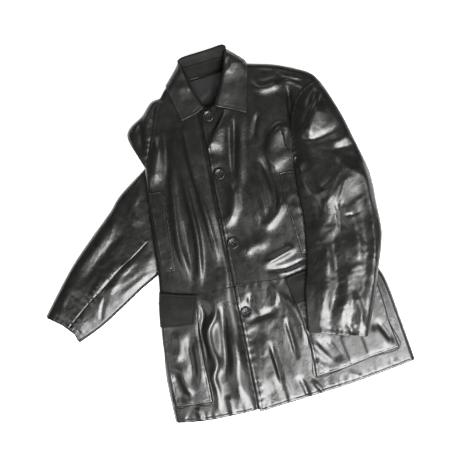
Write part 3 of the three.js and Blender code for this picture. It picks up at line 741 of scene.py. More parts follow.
# ---- Sides, back and linings -------------------------------------------------------------------------
BAND_BULGE = 0.8
BAND_INSET = 0.5
UNDER_EDGE = 1.6  # from a front's outer face down to the top of its side band


def side_band(name, node, line, top, bottom):
    """A strip on edge along an outline, from just under the front's rolled edge down to the back."""
    points = smooth(line, 5)
    rows = []
    for share in (0.0, 0.3, 0.65, 1.0):
        out = BAND_BULGE * math.sin(math.pi * share) - BAND_INSET
        z = bottom + (top(points) - bottom) * share
        rows.append(np.column_stack([offset_line(points, out), z]))
    loft(name, "torso", [node], rows, LEATHER, SHELL)


def make_sides(surfaces):
    def left_edge_z(xy):
        upper, lower = (surfaces[name](xy) for name in ("left_front", "left_skirt"))
        return np.where(xy[:, 1] > WAIST_Y, upper, lower) - UNDER_EDGE

    side_band("left_side", "left_side_panel", LEFT_SIDE_DOWN[::-1], left_edge_z, low("left_side_panel"))
    tucked_z = high("right_hand_pocket_bag_back") - 2

    def right_edge_z(xy):
        return np.where(xy[:, 1] < TUCK_START, surfaces["right_skirt"](xy) - UNDER_EDGE, tucked_z)

    side_band("right_side", "right_side_panel", [*RIGHT_SIDE_UP, *TUCK_LINE], right_edge_z,
              low("right_side_panel"))


def flat_piece(name, nodes, loop, z, material, slot, thickness, wave=0.0, step=8.0):
    """A hidden or half-hidden layer at the height of its CAD piece, with slow waves."""
    def height(xy, distance):
        return z + wave * np.abs(noise(xy, 70, 1)) + 0.4 * wave * np.abs(noise(xy, 23, 2))

    panel(name, "torso", nodes, loop, height, material, slot, thickness, step, rows=(1.5, 4))


def make_back():
    def height(xy, distance):
        centre = np.abs(xy[:, 0] - CENTRE_BACK)
        seam_valley = 0.5 * np.exp(-((centre / 2.0) ** 2))
        waves = 0.9 * np.abs(noise(xy, 80, 31)) + 0.5 * np.maximum(crumple(xy, 26, 33), 0)
        return LEATHER + 0.1 + seam_valley + waves * np.clip(distance / 12, 0, 1)

    shoulder_left = [(302, 291), (289, 306), (264, 321), (212, 341), (152, 355), (120, 366)]
    neck_left = [(120, 366), (100, 375), (CENTRE_BACK, 373)]
    neck_right = [(CENTRE_BACK, 373), (14, 366), (0, 350)]
    centre = [(CENTRE_BACK, 373), (CENTRE_BACK, -402)]
    hem_left = [(392, -356), (331, -367), (230, -383), (101, -397), (CENTRE_BACK, -402)]
    hem_right = [(-152, -394), (-88, -401), (CENTRE_BACK, -402)]
    left = outline(centre[::-1], neck_left[::-1], shoulder_left[::-1], LEFT_ARMHOLE[::-1],
                   LEFT_SIDE_DOWN, hem_left)
    right = outline(centre, hem_right[::-1], RIGHT_SIDE_UP, TUCK_LINE, [(-45, 300), (-33, 334), (0, 350)],
                    neck_right[::-1])
    shell = dict(material=SHELL, slot="shell_leather", step=6.0, rows=(0.8, 2.5))
    panel("back_left", "torso", ["back_left_panel"], left, height, **shell)
    panel("back_right", "torso", ["back_right_panel"], right, height, **shell)


def make_linings():
    cloth_piece = dict(material=LINING_CLOTH, slot="lining_cloth", thickness=LINING)
    armhole = [(250, 300), (226, 258), (206, 190), (214, 112)]
    left_edge = [(256, 68), (297, -30), (335, -120), (357, -170), (372, -256), (385, -352)]
    right_edge = [(-148, -386), (-148, -300), (-142, -219), (-132, -130), (-76, -66), (-64, 67), (-48, 190),
                  (-41, 290)]
    neck = [(-41, 290), (-32, 300), (0, 336), (60, 346), (130, 350), (250, 300)]
    hem = [(385, -352), (330, -364), (55, -390), (-148, -386)]
    flat_piece("back_lining_cloth", ["back_lining"],
               outline(right_edge, neck, armhole, [armhole[-1], left_edge[0]], left_edge, hem),
               high("back_lining"), wave=4.5, step=5.0, **cloth_piece)
    front_z = high("left_front_lining")
    flat_piece("left_front_lining_cloth", ["left_front_lining"],
               outline([(150, -386), (150, 318)], [(150, 318), (250, 300)], armhole,
                       [armhole[-1], left_edge[0]], left_edge, [left_edge[-1], (150, -386)]),
               front_z, wave=0.6, **cloth_piece)
    flat_piece("right_front_lining_cloth", ["right_front_lining"],
               outline(right_edge, [(-41, 290), (10, 300)], [(10, 300), (10, -390)],
                       [(10, -390), (-148, -386)]),
               front_z, wave=0.6, **cloth_piece)
    for side, near_x, far_x, drop in (("right", 6, UNDERLAP_X, 8.2), ("left", UNDERLAP_X + 1, 146, 6.0)):
        corners = [(near_x, -390), (far_x, -390), (far_x, 258), (near_x, 258), (near_x, -390)]
        flat_piece(f"{side}_facing", [f"{side}_front_facing"], outline(*zip(corners[:-1], corners[1:])),
                   high(f"{side}_front_facing") - drop, DULL, "dull_leather", FACING)
    for side, line, towards in (("left", LEFT_WELT_LINE, 1), ("right", RIGHT_WELT_LINE, -1)):
        path = smooth(line, 8)
        for layer, start, drop in (("back", -14.5, 0), ("front", 20.5, 4.2)):
            near = offset_line(path, -towards * start)
            far = offset_line(path, -towards * 98)
            name = f"{side}_hand_pocket_bag_{layer}"
            flat_piece(f"{side}_pocket_bag_{layer}", [name],
                       outline(near, [near[-1], far[-1]], far[::-1], [far[0], near[0]]), high(name) - drop,
                       **cloth_piece)
    facing = outline(NECK_FACING_LOW, [NECK_FACING_LOW[-1], (119, 366)], [(119, 366), (100, 374), (55, 372),
                     (14, 365), (2, 350)], [(2, 350), NECK_FACING_LOW[0]])
    flat_piece("neck_facing", ["back_neck_facing"], facing, high("back_neck_facing") + 1.5,
               COLLAR_LEATHER, "dull_leather", FACING, wave=2.0, step=GRID)


# ---- Hand pockets, patch pockets and flaps -----------------------------------------------------------
def sewn_on(name, body, nodes, loop, top, rise, material, slot, edge, stitched=None, folds=(),
            thickness=LEATHER, rests_on=(), step=GRID):
    """A piece that lies on a front and follows its folds at a height above them."""
    def height(xy, distance):
        z = top + body_field(xy) + rise + fold_height(xy, folds) - roll(distance, *edge)
        if stitched:
            z = z - 0.55 * np.exp(-(((distance - stitched) / 1.0) ** 2))
            z = z + 0.3 * noise(xy, 9, 77) * np.exp(-((distance / (stitched + 4)) ** 2))
        return z

    closed = closed_up(loop)
    seams = [offset_line(closed, stitched)] if stitched else []
    rows = [edge[0] * share for share in (0.12, 0.35, 0.65, 1.0)]
    surface = panel(name, body, nodes, loop, height, material, slot, thickness, step, rows, seams,
                    rests_on=rests_on)
    if stitched:
        ring = offset_line(closed, stitched)
        far_enough = nearest(ring, closed)[0] > stitched * 0.8
        stitches(f"{name}_stitching", body, surface, [ring[far_enough]])
    return surface


def make_welts():
    shell = dict(material=SHELL, slot="shell_leather", edge=(1.6, 1.3), stitched=4.0)
    gathers = [pucker(0.25, 12, 23, (-104, 110), (-108, -58)), pucker(0.6, 12, 29, (196, 60), (202, -76))]
    right = outline([(-115, 115), (-84, 115)], [(-84, 115), (-82, 93), (-89, -15), (-91, -63)],
                    [(-91, -63), (-118, -60)], [(-118, -60), (-117, 22), (-115, 115)])
    left = outline([(175, 106), (205, 105)], [(205, 105), (208, 40), (209, -20), (206, -79)],
                   [(206, -79), (189, -78)], [(189, -78), (182, -5), (175, 40), (175, 106)])
    sewn_on("right_pocket_welt", "torso", ["right_hand_pocket_welt"], right, RIGHT_TOP, 1.6, folds=gathers,
            rests_on=["right_front"], **shell)
    sewn_on("left_pocket_welt", "torso", ["left_hand_pocket_welt"], left, LEFT_TOP, 1.6, folds=gathers,
            rests_on=["left_front"], **shell)


POCKET_RISE = 3.6
FLAP_RISE = 6.6


def gusset(name, node, line, top, face):
    """The narrow wall between a patch pocket's face and the front under it."""
    points = smooth(line, 4)
    under = top + body_field(points) - 0.4
    rim = face(points) - 0.8
    rows = [
        np.column_stack([offset_line(points, -1.6), under]),
        np.column_stack([offset_line(points, -1.0), (under + rim) / 2 + 0.3]),
        np.column_stack([offset_line(points, 0.6), rim]),
    ]
    loft(name, "torso", [node], rows, 1.0, SHELL)


def make_patch_pockets():
    right_down = [(-137, -130), (-146, -219), (-148, -300), (-147, -359)]
    right_across = [(-147, -359), (-105, -362), (-64, -363)]
    right_up = [(-64, -363), (-64, -280), (-62, -202), (-57, -130)]
    right = outline(right_down, right_across, right_up, [(-57, -130), (-137, -130)])
    right_folds = [
        ridge(3.2, 11, (-122, -192), (-112, -214), (-118, -244), (-136, -262)),
        ridge(3.0, 9, (-132, -262), (-120, -286), (-116, -312), (-104, -344)),
        ridge(-4.2, 10, (-84, -200), (-92, -236), (-92, -280), (-100, -330)),
        ridge(2.2, 9, (-74, -210), (-78, -260), (-80, -320)),
        ridge(-3.4, 11, (-136, -280), (-130, -320), (-120, -356)),
    ]
    left_down = [(147, -130), (164, -235), (169, -300), (169, -352)]
    left_across = [(169, -352), (235, -345), (298, -332), (363, -322)]
    left_up = [(363, -322), (352, -268), (345, -200), (334, -130)]
    left = outline(left_down, left_across, left_up, [(334, -130), (147, -130)])
    left_folds = [
        tuck(1.8, 1.6, 16, (236, -262), (243, -300), (252, -344)),
        tuck(1.8, 1.6, 16, (280, -258), (287, -300), (294, -336)),
        ridge(2.8, 9, (164, -260), (184, -288), (214, -326)),
        ridge(2.0, 6, (172, -312), (188, -330), (198, -344)),
        ridge(-2.0, 6, (180, -262), (204, -300), (228, -332)),
        ridge(2.6, 8, (310, -262), (326, -290), (340, -318)),
        ridge(-3.0, 6, (322, -250), (340, -285), (352, -312)),
        ridge(-2.6, 7, (206, -268), (220, -300), (236, -330)),
        crest(1.6, 5, 18, (320, -226), (290, -232), (262, -226)),
    ]
    pocket = dict(rise=POCKET_RISE, material=SHELL, slot="shell_leather", edge=(5.5, 3.2), stitched=6.5)
    right_face = sewn_on("right_pocket_face", "torso", ["right_patch_pocket_face"], right, RIGHT_TOP,
                         folds=right_folds, rests_on=["right_skirt"], **pocket)
    left_face = sewn_on("left_pocket_face", "torso", ["left_patch_pocket_face"], left, LEFT_TOP,
                        folds=left_folds, rests_on=["left_skirt"], **pocket)
    right_wall = [*right_down, *right_across[1:], *right_up[1:]]
    left_wall = [*left_down, *left_across[1:], *left_up[1:]]
    gusset("right_pocket_gusset", "right_patch_pocket_gusset", right_wall, RIGHT_TOP, right_face)
    gusset("left_pocket_gusset", "left_patch_pocket_gusset", left_wall, LEFT_TOP, left_face)
    make_flap("right", RIGHT_TOP, [(-134, -103), (-96, -114), (-52, -124)],
              [(-52, -124), (-62, -156), (-72, -187)], [(-72, -187), (-110, -185), (-146, -179)],
              [(-146, -179), (-141, -140), (-134, -103)],
              [ridge(1.2, 12, (-130, -140), (-90, -150), (-64, -150))])
    make_flap("left", LEFT_TOP, [(144, -125), (196, -116), (330, -114)], [(330, -114), (326, -177)],
              [(326, -177), (181, -184), (156, -187)], [(156, -187), (148, -150), (144, -125)],
              [ridge(1.6, 8, (156, -140), (190, -136), (240, -134))])


def make_flap(side, top, seam_edge, far, free_edge, near, folds):
    body = f"{side}_pocket_flap"
    loop = outline(seam_edge, far, free_edge, near)
    both = dict(top=top, folds=folds, rests_on=[f"{side}_pocket_face"])
    sewn_on(f"{side}_flap_leather", body, [f"{side}_pocket_flap"], loop, rise=FLAP_RISE, material=DULL,
            slot="shell_leather", edge=(2.2, 1.5), stitched=6.0, **both)
    inner = offset_line(closed_up(loop), 1.5)[:-1]
    sewn_on(f"{side}_flap_lining", body, [f"{side}_pocket_flap_lining"], inner, rise=FLAP_RISE - 1.7,
            material=LINING_CLOTH, slot="lining_cloth", edge=(1.5, 0.3), thickness=0.9, step=6.0, **both)


# ---- Sleeves -----------------------------------------------------------------------------------------
def pillow(distance, radius):
    """0 at a rounded edge, rising to 1 at radius in from it."""
    share = np.clip(distance / radius, 0, 1)
    return np.sqrt(1 - (1 - share) ** 2)


def slope(distance, reach):
    """0 at an edge, rising evenly and levelling out at reach in from it."""
    share = np.clip(distance / reach, 0, 1)
    return np.clip(distance / 4, 0, 1) * (0.22 + 0.78 * share * (1.35 - 0.35 * share**3))


def ease(value, start, end):
    t = np.clip((value - start) / (end - start), 0, 1)
    return t * t * (3 - 2 * t)


SLEEVE_RELIEF = 1.35
LINING_DROP = 2.2  # from a top sleeve's outer face down to its lining
LEFT_SLEEVE_FOLDS = [
    ridge(-5.5, 7, (298, 296), (280, 252), (252, 208), (226, 184)),
    ridge(6.5, 22, (228, 172), (262, 204), (294, 246)),
    ridge(1.8, 5, (236, 226), (252, 244), (268, 262)),
    ridge(-2.6, 9, (220, 172), (264, 162), (304, 170), (330, 186)),
    ridge(1.6, 8, (290, 147), (320, 150), (354, 158)),
    ridge(-1.5, 6, (300, 132), (330, 132), (352, 138)),
    crest(9.0, 16, 70, (330, 118), (312, 94), (290, 68), (262, 48), (236, 36)),
    ridge(-2.4, 11, (272, -30), (260, -84), (256, -144), (236, -204), (228, -232)),
    ridge(2.8, 13, (250, -10), (240, -100), (222, -160), (209, -200), (200, -258)),
    ridge(2.4, 13, (272, -110), (270, -176), (250, -218), (230, -262)),
    ridge(2.2, 12, (256, 40), (262, 10), (258, -30)),
    ridge(3.0, 14, (300, 30), (312, -20), (312, -90), (300, -150)),
    ridge(-2.0, 5, (284, 30), (284, -20), (280, -60)),
    ridge(-1.2, 3, (292, -12), (312, -16), (334, -10)),
    crest(1.3, 6, 30, (340, 66), (306, 60), (268, 22)),
    crest(1.0, 5, 26, (342, 20), (312, 2), (284, 6)),
    crest(1.3, 6, 30, (326, -66), (300, -84), (262, -66)),
    crest(1.0, 5, 24, (322, -132), (296, -126), (270, -142)),
    crest(1.2, 6, 26, (300, -206), (270, -196), (232, -214)),
    ridge(2.2, 7, (280, -170), (290, -220), (278, -270)),
    ridge(-2.0, 6, (256, -240), (262, -262), (266, -280)),
    crest(2.4, 6, 13, (289, -281), (317, -205), (339, -145), (349, -92), (356, -40), (359, 6), (360, 60),
          (356, 118)),
]
LEFT_SLEEVE_STITCHED = [
    pucker(0.9, 12, 12, (300, 284), (276, 280), (250, 264), (230, 238), (219, 200), (213, 140)),
    pucker(0.6, 8, 12, (294, -276), (236, -262), (172, -243)),
    groove(0.5, 1.2, (296, -271), (237, -257), (173, -237)),
]
RIGHT_SLEEVE_FOLDS = [
    ridge(3.0, 10, (-200, -16), (-254, -56), (-296, -94)),
    ridge(2.6, 8, (-160, -16), (-210, -50), (-256, -96)),
    ridge(1.8, 6, (-140, -52), (-168, -68), (-224, -100)),
    ridge(-2.4, 4, (-250, -84), (-266, -116), (-276, -148)),
    ridge(2.6, 9, (-132, 120), (-154, 100), (-158, 74), (-146, 40)),
    ridge(2.8, 13, (-180, 90), (-240, 36), (-310, -34)),
    ridge(-2.2, 9, (-170, 60), (-236, 4), (-320, -68)),
    ridge(1.8, 6, (-330, -60), (-350, -92), (-352, -130)),
    groove(1.2, 1.4, (-140, 10), (-178, -17), (-212, -38), (-256, -72), (-292, -98), (-350, -146)),
]
RIGHT_SLEEVE_STITCHED = [
    pucker(0.6, 8, 12, (-386, -104), (-364, -122), (-338, -142), (-325, -174)),
    groove(0.5, 1.2, (-383, -100), (-361, -118), (-335, -138), (-320, -170)),
    pucker(0.7, 9, 14, (-140, 12), (-212, -36), (-292, -96), (-350, -144)),
]


def sleeve_lining(name, body, node, first, second, low_z, high_z, blend=None):
    """A tube of cloth between a sleeve's two edges, flattened to the room between its two sides."""
    stations = 26
    a = resample(smooth(first), 1)
    b = resample(smooth(second), 1)
    picks = np.linspace(0, 1, stations)
    near = a[(picks * (len(a) - 1)).astype(int)]
    far = b[(picks * (len(b) - 1)).astype(int)]
    angles = np.linspace(0, 2 * math.pi, 33)
    rows = []
    for p, q in zip(near, far):
        reach = np.linalg.norm(q - p)
        share = 0.5 - 0.5 * np.cos(angles) * (1 - 8 / reach)
        xy = p + share[:, None] * (q - p)
        lift = np.sign(np.sin(angles)) * np.abs(np.sin(angles)) ** 0.5
        bottom, top = low_z(xy), high_z(xy)
        rows.append(np.column_stack([xy, (bottom + top) / 2 + lift * (top - bottom) / 2]))
    piece = loft(name, None if blend else body, [node], rows, LINING, LINING_CLOTH)
    if blend:
        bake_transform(piece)


LEFT_BLEND = ("torso", "left_sleeve", (0.246, 0.215, 0.04), (0.285, 0.075, 0.04))


def make_left_sleeve():
    outer = smooth(LEFT_SLEEVE_OUTER)
    inner = smooth(LEFT_SLEEVE_INNER)
    arm_seam = smooth(LEFT_ARM_SEAM)
    long_edges = (outer, 22), (inner, 27)

    def lifted(xy):
        """How far the forearm has risen over the pocket flap, from 0 to 1."""
        return 1 - ease(xy[:, 1], -200, 30)

    def middle(xy):
        return 31.5 + 15 * lifted(xy)

    def fullness(xy):
        round_side, ramp_side = (nearest(xy, line)[0] / radius for line, radius in long_edges)
        ramp_side = ramp_side * (1 + 1.6 * ease(xy[:, 1], 40, 110))
        ramped = 1 - np.sqrt(np.clip(1 - ramp_side, 0, 1) ** 2 + 0.01) + 0.1
        return np.minimum(pillow(round_side, 1), np.clip(ramped, 0, 1))

    def top_height(xy, distance):
        full = fullness(xy)
        forearm = ease(-xy[:, 1], -60, 60)
        broad = 1.6 * crumple(xy, 58, 41, 1.6, math.radians(70))
        broad = broad + 2.2 * forearm * noise(xy * (1.0, 0.7), 34, 43)
        small = (0.15 + 0.75 * forearm) * crumple(xy, 19, 47, 1.3, math.radians(30))
        folds = SLEEVE_RELIEF * fold_height(xy, LEFT_SLEEVE_FOLDS)
        puffed = middle(xy) + (13.5 - 5 * lifted(xy)) * full + full * (broad + small + folds)
        from_seam = nearest(xy, arm_seam)[0]
        joined = ease(from_seam, 0, 42)
        at_seam = LEFT_TOP + 1.2 + 6 * ease(from_seam, -4, 24) - 12 * (1 - pillow(nearest(xy, outer)[0], 22))
        z = at_seam + (puffed - at_seam) * joined
        return z + fold_height(xy, LEFT_SLEEVE_STITCHED) - roll(distance, 1.5, 0.8)

    def under_height(xy, distance):
        return middle(xy) - 0.8 - 1.2 * pillow(distance, 12)

    loop = outline(LEFT_SLEEVE_OUTER, LEFT_CUFF, LEFT_SLEEVE_INNER, LEFT_ARM_SEAM)
    shell = dict(material=SHELL, slot="shell_leather")
    surface = panel("left_sleeve_top", None, ["left_top_sleeve"], loop, top_height, rows=SIDE_ROWS,
                    seams=[seam(*LEFT_SLEEVE_SEAM[1:])], rests_on=["left_front"], **shell)
    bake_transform(bpy.data.objects["left_sleeve_top"])
    under_loop = outline([(345, 165), *LEFT_SLEEVE_OUTER[4:]], LEFT_CUFF, LEFT_SLEEVE_INNER,
                         [(212, 130), (345, 165)])
    panel("left_sleeve_under", None, ["left_under_sleeve"], under_loop, under_height, step=6.0,
          rests_on=["left_front"], **shell)
    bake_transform(bpy.data.objects["left_sleeve_under"])
    sleeve_lining("left_lining_tube", "left_sleeve", "left_sleeve_lining",
                  [(176, -243), (187, -160), (201, -110), (210, -52), (215, 14), (214, 80), (218, 120)],
                  [(290, -276), (314, -220), (339, -147), (354, -105), (365, -60), (366, 60), (346, 140)],
                  lambda xy: under_height(xy, np.full(len(xy), 20.0)) + 0.6,
                  lambda xy: surface(xy) - LINING_DROP, LEFT_BLEND)
    stitches("left_sleeve_stitching", None, surface,
             [[(296, -271), (237, -257), (173, -237)],
              [(367, 90), (367, 10), (364, -50), (354, -100), (341, -150), (318, -212), (295, -268)]],
             LEFT_BLEND)


def make_right_sleeve():
    outer = smooth(RIGHT_SLEEVE_OUTER)
    inner = smooth(RIGHT_SLEEVE_INNER)
    middle = 6.0

    def top_height(xy, distance):
        full = np.minimum(pillow(nearest(xy, outer)[0], 26), slope(nearest(xy, inner)[0], 44))
        clear = ease(-xy[:, 0], 118, 150)
        wrinkles = 1.4 * crumple(xy, 50, 51, 1.8, math.radians(42)) + 0.5 * crumple(xy, 17, 57)
        folds = wrinkles + fold_height(xy, RIGHT_SLEEVE_FOLDS)
        z = middle + full * (7.2 + 2.8 * clear) + clear * full * folds
        return z + fold_height(xy, RIGHT_SLEEVE_STITCHED) - roll(distance, 1.5, 0.8)

    def under_height(xy, distance):
        return LEATHER + 0.2 + (middle - LEATHER - 1.2) * (1 - pillow(distance, 12))

    loop = outline(RIGHT_SLEEVE_OUTER, RIGHT_CUFF, RIGHT_SLEEVE_INNER)
    shell = dict(material=SHELL, slot="shell_leather")
    surface = panel("right_sleeve_top", "right_sleeve", ["right_top_sleeve"], loop, top_height,
                    rows=SIDE_ROWS, seams=[seam(*RIGHT_SLEEVE_SEAM[1:])], **shell)
    panel("right_sleeve_under", "right_sleeve", ["right_under_sleeve"], loop, under_height, step=6.0,
          **shell)
    inner_line = [(-328, -170), (-274, -146), (-226, -116), (-175, -83), (-128, -54), (-98, -26), (-90, 60)]
    outer_line = [(-382, -110), (-345, -60), (-312, -18), (-258, 36), (-204, 86), (-160, 124), (-113, 160)]
    sleeve_lining("right_lining_tube", "right_sleeve", "right_sleeve_lining", inner_line, outer_line,
                  lambda xy: np.full(len(xy), LEATHER + 0.8),
                  lambda xy: np.maximum(surface(xy) - LINING_DROP, 4.0))
    stitches("right_sleeve_stitching", "right_sleeve", surface,
             [[(-383, -100), (-361, -118), (-335, -138), (-320, -170)],
              [(-136, 2), (-176, -26), (-212, -46), (-256, -80), (-290, -106), (-346, -152)]])


def make_cap():
    """The head of the right sleeve, gathered into the armhole and folded down at its outer edge."""
    outer = smooth(CAP_OUTER)
    folds = [
        ridge(2.2, 6, (-134, 252), (-126, 212), (-116, 176)),
        ridge(2.4, 8, (-68, 314), (-88, 280), (-98, 232), (-108, 190)),
        ridge(-2.4, 5, (-104, 290), (-108, 244), (-112, 196)),
        ridge(-2.0, 5, (-58, 312), (-76, 276), (-86, 240)),
        pucker(0.45, 10, 14, (-54, 314), (-70, 290), (-86, 248), (-100, 206), (-114, 174)),
    ]

    def height(xy, distance):
        drop = 8 + 10 * ease(xy[:, 1], 200, 250)
        z = RIGHT_TOP - 0.5 - roll(nearest(xy, outer)[0], 26, drop) - roll(distance, 2.5, 1.4)
        inner = ease(nearest(xy, outer)[0], 2, 18)
        return z + inner * (fold_height(xy, folds) + 0.8 * crumple(xy, 22, 61, 1.6, math.radians(75)))

    loop = outline(RIGHT_ARMHOLE[::-1], CAP_OUTER)
    panel("right_sleeve_head", "torso", ["right_sleeve_cap"], loop, height, SHELL, "shell_leather",
          rows=SIDE_ROWS)


def head_roll(name, node, line, z):
    points = smooth(line, 4)
    angles = np.linspace(0, 2 * math.pi, 17)
    half_width, half_height = 5.5, 1.9
    rows = []
    for i, angle in enumerate(angles):
        across = offset_line(points, -half_width * math.cos(angle))
        taper = np.sin(np.linspace(0.25, math.pi - 0.25, len(points)))
        rows.append(np.column_stack([across, z + taper * half_height * math.sin(angle)]))
    grid = np.array(rows)
    count, columns = grid.shape[:2]
    index = np.arange(count * columns).reshape(count, columns)
    faces = [(index[i, j], index[i, j + 1], index[i + 1, j + 1], index[i + 1, j])
             for i in range(count - 1) for j in range(columns - 1)]
    caps = [tuple(index[:-1, 0]), tuple(index[:-1, -1][::-1])]
    piece = make_object(name, grid.reshape(-1, 3), faces + caps, WADDING)
    finish_piece(piece, "torso", [node])


# ---- Collar ------------------------------------------------------------------------------------------
LEAF_Z = 31.2
COLLAR_STITCH = 6  # from a leaf's edge in to its stitching
COLLAR_FOLD = 1.9  # from the top collar's outer face down to the under collar's


def make_leaf(side, roll_line, outer, loop, roll_rise, folds, blend):
    """A collar leaf: it lies on the front, swells towards its roll and climbs to the back of the neck."""
    roll_edge = smooth(roll_line)
    outer_edge = smooth(outer)

    def height(xy, distance):
        from_roll = nearest(xy, roll_edge)[0]
        z = LEAF_Z + roll_rise * np.exp(-((from_roll / 24) ** 2)) + 8 * ease(xy[:, 1], 315, 385)
        z = z - roll(from_roll, 8, 12) - roll(nearest(xy, outer_edge)[0], 20, 22) - roll(distance, 1.2, 0.8)
        z = z - 0.3 * np.exp(-((distance - COLLAR_STITCH) ** 2))
        z = z + 0.35 * noise(xy, 10, 91) * np.exp(-((distance / 9) ** 2))
        return z + fold_height(xy, folds) + 0.35 * crumple(xy, 30, 93)

    closed = closed_up(loop)
    surface = panel(f"{side}_collar_top", None, [f"{side}_top_collar"], loop, height, COLLAR_LEATHER,
                    "shell_leather", rows=SIDE_ROWS, seams=[offset_line(closed, COLLAR_STITCH)],
                    rests_on=[f"{side}_collar_under"])
    inner = offset_line(closed, 2.0)[:-1]
    panel(f"{side}_collar_under", None, [f"{side}_under_collar"], inner,
          lambda xy, distance: surface(xy) - COLLAR_FOLD, DULL, "dull_leather", thickness=UNDER_COLLAR,
          step=5.0, rests_on=[f"{side}_front"])
    for piece in (f"{side}_collar_top", f"{side}_collar_under"):
        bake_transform(bpy.data.objects[piece])
    ring = offset_line(closed, COLLAR_STITCH)
    free = nearest(ring, closed)[0] > COLLAR_STITCH - 1
    for line in (roll_edge, outer_edge):
        free &= nearest(ring, line)[0] > COLLAR_STITCH + 3
    start = int(np.argmax(~free))
    ring = np.roll(ring[:-1], -start, axis=0)
    free = np.roll(free[:-1], -start)
    stitches(f"{side}_collar_stitching", None, surface, [ring[free]], blend)


def make_collar():
    left_roll = [(60, 276), (76, 305), (89, 336), (99, 365), (104, 400)]
    left_back = [(104, 403), (124, 387), (147, 367), (152, 357)]
    left_front = [(152, 357), (145, 322), (136, 281), (129, 248)]
    left_bottom = [(129, 248), (96, 263), (60, 276)]
    left_loop = outline(left_roll, [(104, 400), (104, 403)], left_back, left_front, left_bottom)
    left_folds = [ridge(2.6, 6, (100, 342), (114, 352), (126, 368)),
                  ridge(-1.8, 5, (98, 352), (110, 364), (118, 378)),
                  ridge(1.2, 16, (88, 290), (104, 300), (124, 300))]
    make_leaf("left", left_roll, left_back, left_loop, 5.5, left_folds,
              ("torso", "left_collar_leaf", (0.078, 0.305, 0.03), (0.098, 0.298, 0.03)))
    right_roll = [(43, 278), (26, 315), (12, 369), (13, 390)]
    right_back = [(15, 392), (4, 388), (-6, 374), (-35, 342)]
    right_front = [(-35, 342), (-27, 311), (-14, 257)]
    right_bottom = [(-14, 257), (17, 266), (43, 278)]
    right_loop = outline(right_roll, [(13, 390), (15, 392)], right_back, right_front, right_bottom)
    right_folds = [ridge(3.0, 10, (-14, 322), (6, 328), (22, 318)),
                   ridge(-1.4, 8, (-14, 296), (8, 300), (26, 296))]
    make_leaf("right", right_roll, right_back, right_loop, 4.5, right_folds,
              ("torso", "right_collar_leaf", (0.022, 0.325, 0.03), (0.004, 0.318, 0.03)))
    make_collar_back()


def make_collar_back():
    """The collar's fall behind the neck, the stand in front of it, and the under collar inside the fold."""
    top = smooth([(2, 386), (15, 392), (49, 396), (76, 399), (104, 403), (112, 398)], 3)
    stand = smooth([(6, 371), (28, 371), (46, 372), (84, 376), (104, 376), (110, 372)], 3)
    count = 38
    top = resample(top, np.linalg.norm(np.diff(top, axis=0), axis=1).sum() / count)
    stand = resample(stand, np.linalg.norm(np.diff(stand, axis=0), axis=1).sum() / count)
    foot = stand * 0.965 + np.array([1.9, -1.5])

    def row(line, shift, z):
        wave = 0.5 * noise(line, 14, 5) + 0.3 * noise(line, 6, 6)
        return np.column_stack([line[:, 0], line[:, 1] + shift, z + wave])

    inner = [row(stand, 0, 25.5), row(stand, -0.5, 27.0), row(stand, -0.2, 28.4), row(stand, 1.0, 28.8),
             row(stand, 1.5, 28.2)]
    inner += [np.column_stack([stand[:, :2] + (top - stand) * share, np.full(len(top), z)])
              for share, z in ((0.3, 33), (0.6, 38.5), (0.85, 41.8))]
    outer = [row(top, 0, 42.2), row(top, 1.2, 40), row(top, 2.0, 34), row(top, 2.2, 22), row(top, 1.6, 8),
             row(top, 1.0, 3.0)]
    loft("collar_fall", "torso", ["back_top_collar"], inner + outer, LEATHER, DULL)
    stand_rows = [row(foot, -10, 4.0), row(foot, -5.5, 8.5), row(foot, -2, 15), row(stand, -1.8, 21.5),
                  row(stand, -0.9, 24.6), row(stand, 0.4, 25.0)]
    loft("collar_stand_leather", "torso", ["collar_stand"], stand_rows, UNDER_COLLAR, DULL)
    under_rows = [row(top, -3.5, 38), row(top, -1.2, 34), row(top, -0.4, 22), row(top, -0.6, 8),
                  row(top, -1.4, 3.0)]
    loft("collar_back_under", "torso", ["back_under_collar"], under_rows, 1.0, DULL)


# ---- Buttons -----------------------------------------------------------------------------------------
def circle(radius, centre=(0.0, 0.0), step=0.8):
    angles = np.linspace(0, 2 * math.pi, max(int(2 * math.pi * radius / step), 10), endpoint=False)
    return np.stack([centre[0] + radius * np.cos(angles), centre[1] + radius * np.sin(angles)], axis=1)


BUTTON_RADIUS = 12.5
BUTTON_RINGS = (7.2, 8.6, 9.6, 10.8)  # where the dish, the step and the rim begin
# Heights of a button's two faces, each as a row of radii and a row of heights.
BUTTON_FRONT = ((0, 5.5, *BUTTON_RINGS, 11.8, 12.3, BUTTON_RADIUS),
                (2.5, 2.6, 2.8, 3.7, 4.5, 4.7, 4.3, 3.4, 2.3))
BUTTON_BACK = ((0, 9.5, 12.0, BUTTON_RADIUS), (0.0, 0.0, 1.2, 2.1))
HOLES = [(x, y) for x in (-2.2, 2.2) for y in (-2.2, 2.2)]
HOLE_RADIUS = 1.15
HOLE_DEPTH = 2.1


